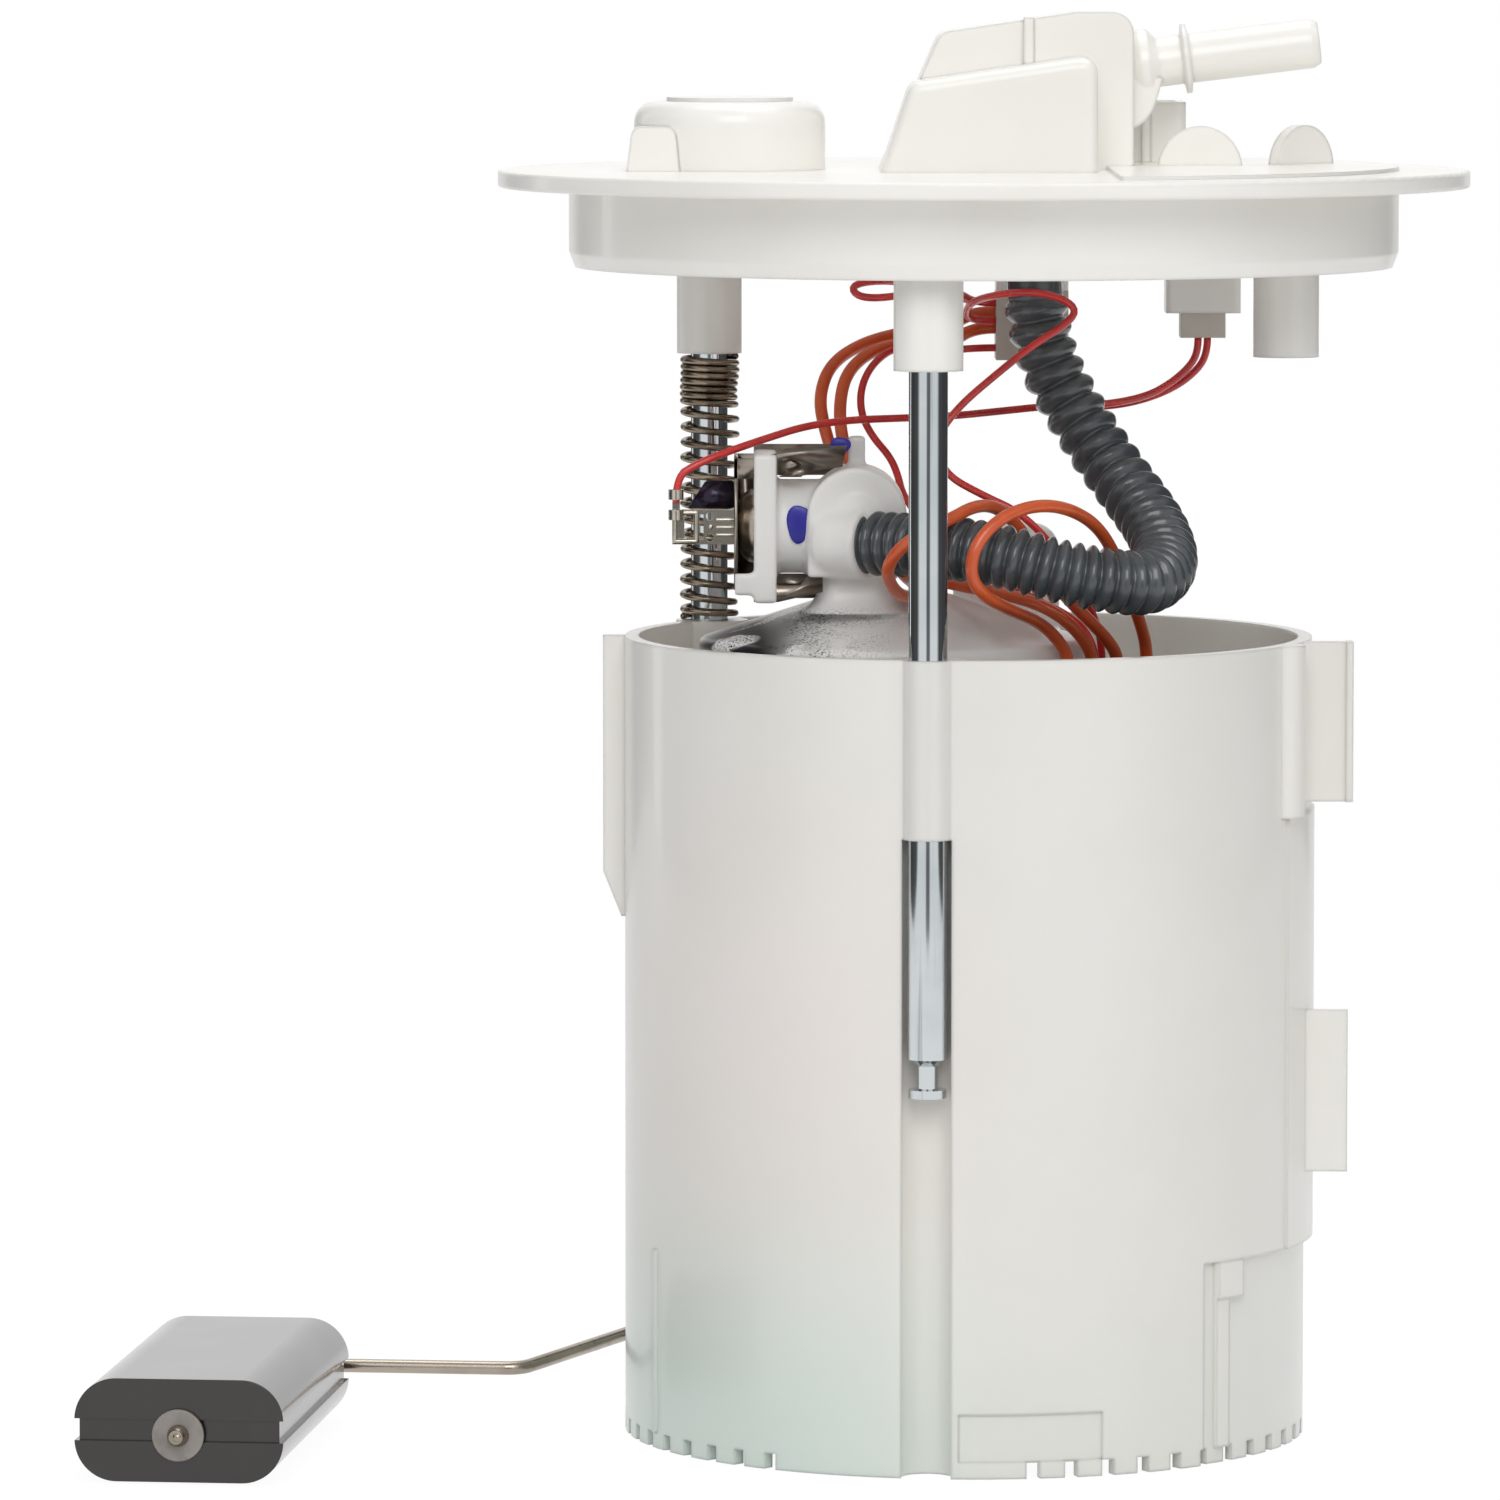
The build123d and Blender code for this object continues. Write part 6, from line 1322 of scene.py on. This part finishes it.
@dataclass
class FloatTip:
    """Flared end of the float's wire, in front of its push-on retainer."""

    length: float = 0.0022
    root_radius: float = 0.0017
    point_radius: float = 0.0004
    sunk: float = 0.0002
    flare_power: float = 1.5
    shares: tuple[float, ...] = (0.0, 0.15, 0.3, 0.6, 0.85, 1.0)
    sides: int = 20

    def build(self) -> bpy.types.Object:
        """Builds the tip where the wire comes through the retainer.

        Returns:
            The tip.
        """
        low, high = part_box("float_retainer")
        middle = Vector(((low[0] + high[0]) / 2, low[1] + self.sunk, (low[2] + high[2]) / 2))
        outward = Vector((0.0, -1.0, 0.0))
        stations = [(middle + outward * self.length * share, outward) for share in self.shares]
        taper = self.point_radius - self.root_radius
        radii = [self.root_radius + taper * share**self.flare_power for share in self.shares]
        tip = tube("wire_tip_collar", stations, radii, self.sides)
        seat(tip, STAINLESS, Body.ARM)
        return tip


@dataclass
class Softbox:
    """One rectangular studio lamp."""

    name: str
    place: Point
    size: tuple[float, float]
    power: float


@dataclass
class Studio:
    """Camera, floor, world and soft lamps."""

    aim: Point = (-0.03689, 0.0, -0.08934)
    distance: float = 1.57774
    pitch: float = 0.0856
    lens: float = 238.55
    sensor: float = 36.0
    clip: Pair = (0.05, 30.0)
    world_light: float = 0.44
    front_stops: tuple[Pair, ...] = ((0.0, 0.2), (0.1, 0.2), (0.26, 1.0), (0.76, 1.0), (0.94, 0.09))
    back_stops: tuple[Pair, ...] = ((0.0, 1.0), (0.3, 1.0), (0.5, 0.07))
    floor_gap: float = 0.0001
    floor_size: float = 1.7
    floor_colour: Colour = (0.9, 0.9, 0.9, 1.0)
    floor_roughness: float = 0.9
    floor_share: float = 0.92
    floor_glow: float = 1.04
    lamp_aim: Point = (0.0, 0.0, -0.09)
    lamps: list[Softbox] = field(default_factory=lambda: [
        Softbox("key_softbox", (0.05, -1.3, 0.72), (0.8, 0.8), 8.4),
        Softbox("strip_softbox", (-1.0, 0.75, 0.15), (0.16, 1.2), 1.0),
        Softbox("top_softbox", (0.1, 0.15, 1.15), (1.1, 0.8), 5.6),
    ])

    def camera(self) -> None:
        """Sets the camera at the photograph's viewing angle."""
        data = bpy.data.cameras.new("photo_camera")
        data.lens = self.lens
        data.sensor_width = self.sensor
        data.clip_start, data.clip_end = self.clip
        camera = bpy.data.objects.new("photo_camera", data)
        bpy.context.scene.collection.objects.link(camera)
        forward = Vector((0.0, math.cos(self.pitch), -math.sin(self.pitch)))
        camera.location = Vector(self.aim) - forward * self.distance
        camera.rotation_euler = (math.pi / 2 - self.pitch, 0.0, 0.0)
        bpy.context.scene.camera = camera

    def world(self) -> None:
        """Lights the scene softly, and shows a white backdrop to the camera, to gloss and through glass.

        Gloss also sees two windows before the table, and the dark flags that stand beside it.
        """
        world = bpy.data.worlds.new("studio_world")
        world.use_nodes = True
        nodes = Nodes(world.node_tree)
        background = nodes.find("BACKGROUND")
        background.inputs["Color"].default_value = (1.0, 1.0, 1.0, 1.0)
        rays = nodes.add("ShaderNodeLightPath").outputs
        heading = nodes.add("ShaderNodeTexCoord").outputs["Generated"]
        direction = nodes.add("ShaderNodeSeparateXYZ", Vector=heading).outputs
        sideways = nodes.join("ABSOLUTE", direction["X"])
        behind = nodes.join("GREATER_THAN", direction["Y"])
        before = nodes.join("SUBTRACT", 1.0, behind)
        fronts = nodes.join("MULTIPLY", self.row(nodes, sideways, self.front_stops), before)
        backs = nodes.join("MULTIPLY", self.row(nodes, sideways, self.back_stops), behind)
        gloss = nodes.join("MULTIPLY", rays["Is Glossy Ray"], nodes.join("ADD", fronts, backs))
        plain = nodes.join("ADD", rays["Is Camera Ray"], rays["Is Transmission Ray"])
        hidden = nodes.join("SUBTRACT", 1.0, nodes.join("ADD", plain, rays["Is Glossy Ray"]))
        lit = nodes.join("MULTIPLY", hidden, self.world_light)
        shown = nodes.join("ADD", plain, gloss)
        nodes.put(background.inputs["Strength"], nodes.join("ADD", shown, lit))
        bpy.context.scene.world = world

    @staticmethod
    def row(nodes: Nodes, sideways: Socket, stops: tuple[Pair, ...]) -> Socket:
        """Sets up the brightness of the surroundings, from the middle out to the sides.

        Args:
            nodes: The world's nodes.
            sideways: How far a ray points to the side, from 0 to 1.
            stops: Places along that way, rising, each with its brightness.

        Returns:
            The brightness that a ray meets.
        """
        blend = nodes.add("ShaderNodeValToRGB", Fac=sideways)
        ramp = blend.color_ramp
        ramp.interpolation = "EASE"
        for place, _ in stops[len(ramp.elements):]:
            ramp.elements.new(place)
        for element, (place, light) in zip(ramp.elements, stops):
            element.position = place
            element.color = (light, light, light, 1.0)
        return blend.outputs["Color"]

    def floor(self) -> None:
        """Lays a white floor under the foot of the reservoir, which keeps the shadow."""
        low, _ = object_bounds()
        data = bpy.data.meshes.new("studio_floor")
        half, level = self.floor_size / 2, low[2] - self.floor_gap
        corners = [(-half, -half, level), (half, -half, level), (half, half, level), (-half, half, level)]
        data.from_pydata(corners, [], [(0, 1, 2, 3)])
        piece = bpy.data.objects.new("studio_floor", data)
        bpy.context.scene.collection.objects.link(piece)
        material = bpy.data.materials.new("studio_floor")
        material.use_nodes = True
        nodes = Nodes(material.node_tree)
        shader = nodes.find("BSDF_PRINCIPLED")
        shader.inputs["Base Color"].default_value = self.floor_colour
        shader.inputs["Roughness"].default_value = self.floor_roughness
        glow = nodes.add("ShaderNodeEmission", Strength=self.floor_glow)
        rays = nodes.add("ShaderNodeLightPath").outputs
        seen = nodes.join("ADD", rays["Is Camera Ray"], rays["Is Transmission Ray"])
        seen = nodes.join("ADD", seen, rays["Is Glossy Ray"])
        blend = nodes.add("ShaderNodeMixShader", Fac=nodes.join("MULTIPLY", seen, self.floor_share))
        nodes.put(blend.inputs[1], shader.outputs[0])
        nodes.put(blend.inputs[2], glow.outputs[0])
        nodes.put(nodes.find("OUTPUT_MATERIAL").inputs["Surface"], blend.outputs[0])
        data.materials.append(material)
        piece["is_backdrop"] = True

    def light(self) -> None:
        """Hangs the lamps and turns each to the object."""
        middle = Vector(self.lamp_aim)
        for lamp in self.lamps:
            data = bpy.data.lights.new(lamp.name, "AREA")
            data.shape = "RECTANGLE"
            data.size, data.size_y = lamp.size
            data.energy = lamp.power
            piece = bpy.data.objects.new(lamp.name, data)
            bpy.context.scene.collection.objects.link(piece)
            piece.location = lamp.place
            piece.rotation_euler = (middle - Vector(lamp.place)).to_track_quat("-Z", "Y").to_euler()
            LOG.info("lamp %s", lamp.name)

    def build(self) -> None:
        """Builds the studio round the object."""
        self.world()
        self.floor()
        self.light()
        bpy.context.scene.view_settings.view_transform = "Standard"


# The routes repeat the control points of the cords' solids.
FUEL_HOSE: list[Point] = [
    (0.0079, 0.007, -0.003), (0.0079, 0.007, -0.0095), (0.0082, 0.007, -0.0155),
    (0.0088, 0.007, -0.0216), (0.0104, 0.007, -0.0278), (0.0134, 0.0065, -0.0337),
    (0.017, 0.005, -0.0396), (0.0208, 0.002, -0.045), (0.0246, -0.003, -0.0499),
    (0.0277, -0.01, -0.0545), (0.0286, -0.019, -0.0588), (0.0254, -0.028, -0.061),
    (0.0196, -0.032, -0.0604), (0.0115, -0.033, -0.0589), (0.0035, -0.032, -0.0567),
    (-0.005, -0.0284, -0.0554), (-0.012805, -0.02255, -0.0552), (-0.0193, -0.0188, -0.0552),
]
ORANGE_WIRE_1: list[Point] = [
    (0.0026, 0.028, -0.021), (-0.0009, 0.028, -0.021), (-0.0047, 0.027, -0.0232),
    (-0.012, 0.024, -0.024), (-0.0189, 0.02, -0.0256), (-0.0241, 0.016, -0.0288),
    (-0.0259, 0.013, -0.0338), (-0.0251, 0.01, -0.0387), (-0.0229, 0.008, -0.0453),
    (-0.02, 0.0085, -0.0533), (-0.0155, 0.0065, -0.0594), (-0.0084, 0.0015, -0.0623),
    (0.0001, -0.007, -0.0634), (0.0073, -0.014, -0.0646), (0.0124, -0.015, -0.0672),
    (0.016, -0.013, -0.0712), (0.0172, -0.011, -0.0746), (0.0172, -0.011, -0.078),
]
ORANGE_WIRE_2: list[Point] = [
    (0.0026, 0.026, -0.0234), (-0.0009, 0.026, -0.0234), (-0.0048, 0.024, -0.0259),
    (-0.0129, 0.02, -0.0256), (-0.018, 0.016, -0.0269), (-0.0216, 0.013, -0.0302),
    (-0.0227, 0.01, -0.035), (-0.0223, 0.007, -0.0405), (-0.0201, 0.005, -0.0467),
    (-0.0172, 0.004, -0.0546), (-0.0132, 0, -0.061), (-0.0104, -0.009, -0.0627),
    (-0.0114, -0.018, -0.0639), (-0.0142, -0.026, -0.0626), (-0.0159, -0.0325, -0.0589),
    (-0.0142, -0.0355, -0.0553), (-0.01, -0.036, -0.0522), (-0.0056, -0.034, -0.0504),
    (-0.0022, -0.0295, -0.0488), (0.001, -0.024, -0.049), (0.0042, -0.0195, -0.0514),
    (0.0067, -0.0175, -0.055), (0.0096, -0.016, -0.0604), (0.0146, -0.0135, -0.066),
    (0.0196, -0.009, -0.071), (0.0214, -0.006, -0.0745), (0.0214, -0.006, -0.078),
]
ORANGE_WIRE_3: list[Point] = [
    (0.0132, -0.0184, -0.078), (0.0132, -0.0184, -0.0744), (0.012, -0.02, -0.071),
    (0.0084, -0.024, -0.0672), (0.0035, -0.033, -0.0647), (-0.0007, -0.04, -0.0622),
    (-0.003, -0.042, -0.0588), (-0.0022, -0.042, -0.054), (0.0016, -0.04, -0.05),
    (0.0069, -0.036, -0.0482), (0.0122, -0.03, -0.0489), (0.0172, -0.022, -0.052),
    (0.0205, -0.016, -0.0574), (0.023, -0.01, -0.064), (0.0254, -0.004, -0.0704),
    (0.026, -0.002, -0.0742), (0.026, -0.002, -0.078),
]
RED_WIRE_GROUND: list[Point] = [
    (0.0352, 0.027, -0.025), (0.0352, 0.027, -0.0272), (0.034, 0.027, -0.0296),
    (0.031, 0.026, -0.0322), (0.0269, 0.024, -0.0344), (0.0199, 0.021, -0.0356),
    (0.0112, 0.02, -0.0357), (0.0031, 0.017, -0.0364), (-0.005, 0.011, -0.0369),
    (-0.0134, 0.005, -0.0369), (-0.0211, 0, -0.0369), (-0.0282, -0.005, -0.0376),
    (-0.0345, -0.009, -0.0394), (-0.0408, -0.012, -0.0414), (-0.0454, -0.0132, -0.0432),
    (-0.0485, -0.0136, -0.0452), (-0.0485, -0.0136, -0.0492),
]
RED_WIRE_SENSOR: list[Point] = [
    (0.0368, 0.029, -0.025), (0.0368, 0.029, -0.0274), (0.0354, 0.029, -0.0302),
    (0.0316, 0.029, -0.0332), (0.026, 0.029, -0.0354), (0.0196, 0.029, -0.0364),
    (0.014, 0.029, -0.036), (0.0112, 0.029, -0.0336), (0.0104, 0.029, -0.0312),
    (0.0104, 0.029, -0.0285),
]
RED_WIRE_PUMP: list[Point] = [
    (0.0026, 0.0236, -0.0222), (-0.0006, 0.0236, -0.0222), (-0.0024, 0.02, -0.0212),
    (-0.002, 0.012, -0.0189), (0.0014, 0.003, -0.0173), (0.0072, -0.0006, -0.0165),
    (0.0121, -0.001, -0.0174), (0.0149, -0.0004, -0.0194), (0.0132, -0.001, -0.0217),
    (0.0075, -0.003, -0.0251), (0.0024, -0.006, -0.029), (-0.0042, -0.009, -0.0344),
    (-0.0078, -0.01, -0.0395), (-0.0065, -0.011, -0.0448), (-0.0001, -0.013, -0.0482),
    (0.0054, -0.014, -0.0506), (0.0106, -0.013, -0.0558), (0.015, -0.009, -0.0624),
    (0.0178, -0.0045, -0.0682), (0.019, -0.001, -0.0736), (0.019, -0.001, -0.078),
]
RED_WIRE_SENSE: list[Point] = [
    (0.0026, 0.0246, -0.0266), (-0.0006, 0.0246, -0.0266), (-0.0064, 0.0206, -0.027),
    (-0.0132, 0.017, -0.0259), (-0.017, 0.014, -0.0282), (-0.0192, 0.012, -0.032),
    (-0.0193, 0.01, -0.0363), (-0.0175, 0.008, -0.0399), (-0.0146, 0.006, -0.0431),
    (-0.0134, 0.004, -0.0459), (-0.0128, 0.001, -0.0486), (-0.0108, -0.002, -0.0514),
    (-0.0069, -0.006, -0.0556), (-0.0006, -0.0065, -0.0604), (0.0073, -0.005, -0.0646),
    (0.0148, -0.004, -0.0682), (0.018, -0.004, -0.073), (0.018, -0.004, -0.078),
]
RED_WIRE_SLACK: list[Point] = [
    (0.0026, 0.0318, -0.0196), (-0.001, 0.0318, -0.0196), (-0.0065, 0.022, -0.0174),
    (-0.0132, 0.007, -0.0152), (-0.0182, 0.0016, -0.015), (-0.021, -0.0006, -0.0158),
    (-0.0198, -0.0022, -0.0174), (-0.0156, -0.0008, -0.0176), (-0.0092, 0.006, -0.0167),
    (-0.0036, 0.016, -0.0173), (-0.0006, 0.024, -0.0194), (0.0026, 0.024, -0.0194),
]


def leads() -> list[Lead]:
    """Lists the leads of the module.

    Returns:
        The leads, orange ones first.
    """
    thick, thin = 0.001, 0.0006
    return [
        Lead("orange_wire_1", ORANGE_WIRE_1, 0.1159, thick, ORANGE_LEAD, Slot.ORANGE),
        Lead("orange_wire_2", ORANGE_WIRE_2, 0.1679, thick, ORANGE_LEAD, Slot.ORANGE),
        Lead("orange_wire_3", ORANGE_WIRE_3, 0.1074, thick, ORANGE_LEAD, Slot.ORANGE, Body.RESERVOIR),
        Lead("red_wire_ground", RED_WIRE_GROUND, 0.1046, thin, RED_LEAD, Slot.RED),
        Lead("red_wire_sensor", RED_WIRE_SENSOR, 0.0371, thin, RED_LEAD, Slot.RED, Body.COVER),
        Lead("red_wire_pump", RED_WIRE_PUMP, 0.1249, thin, RED_LEAD, Slot.RED),
        Lead("red_wire_sense", RED_WIRE_SENSE, 0.0966, thin, RED_LEAD, Slot.RED),
        Lead("red_wire_slack", RED_WIRE_SLACK, 0.0808, thin, RED_LEAD, Slot.RED, Body.COVER),
    ]


def main() -> None:
    """Builds the whole scene."""
    logging.basicConfig(level=logging.INFO, format="%(name)s: %(message)s")
    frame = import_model()
    studio = Studio()
    studio.camera()
    FuelHose(FUEL_HOSE).build()
    for lead in leads():
        lead.build()
    ReturnSpring().build()
    CarriedNodes(frame["record"], frame["nodes"]).build()
    FilterCoverMoulding(frame["nodes"]["filter_cover"]).build()
    SpringClip().build()
    TerminalTrim().build()
    RegulatorDressing().build()
    FloatTip().build()
    studio.build()


if __name__ == "__main__":
    main()
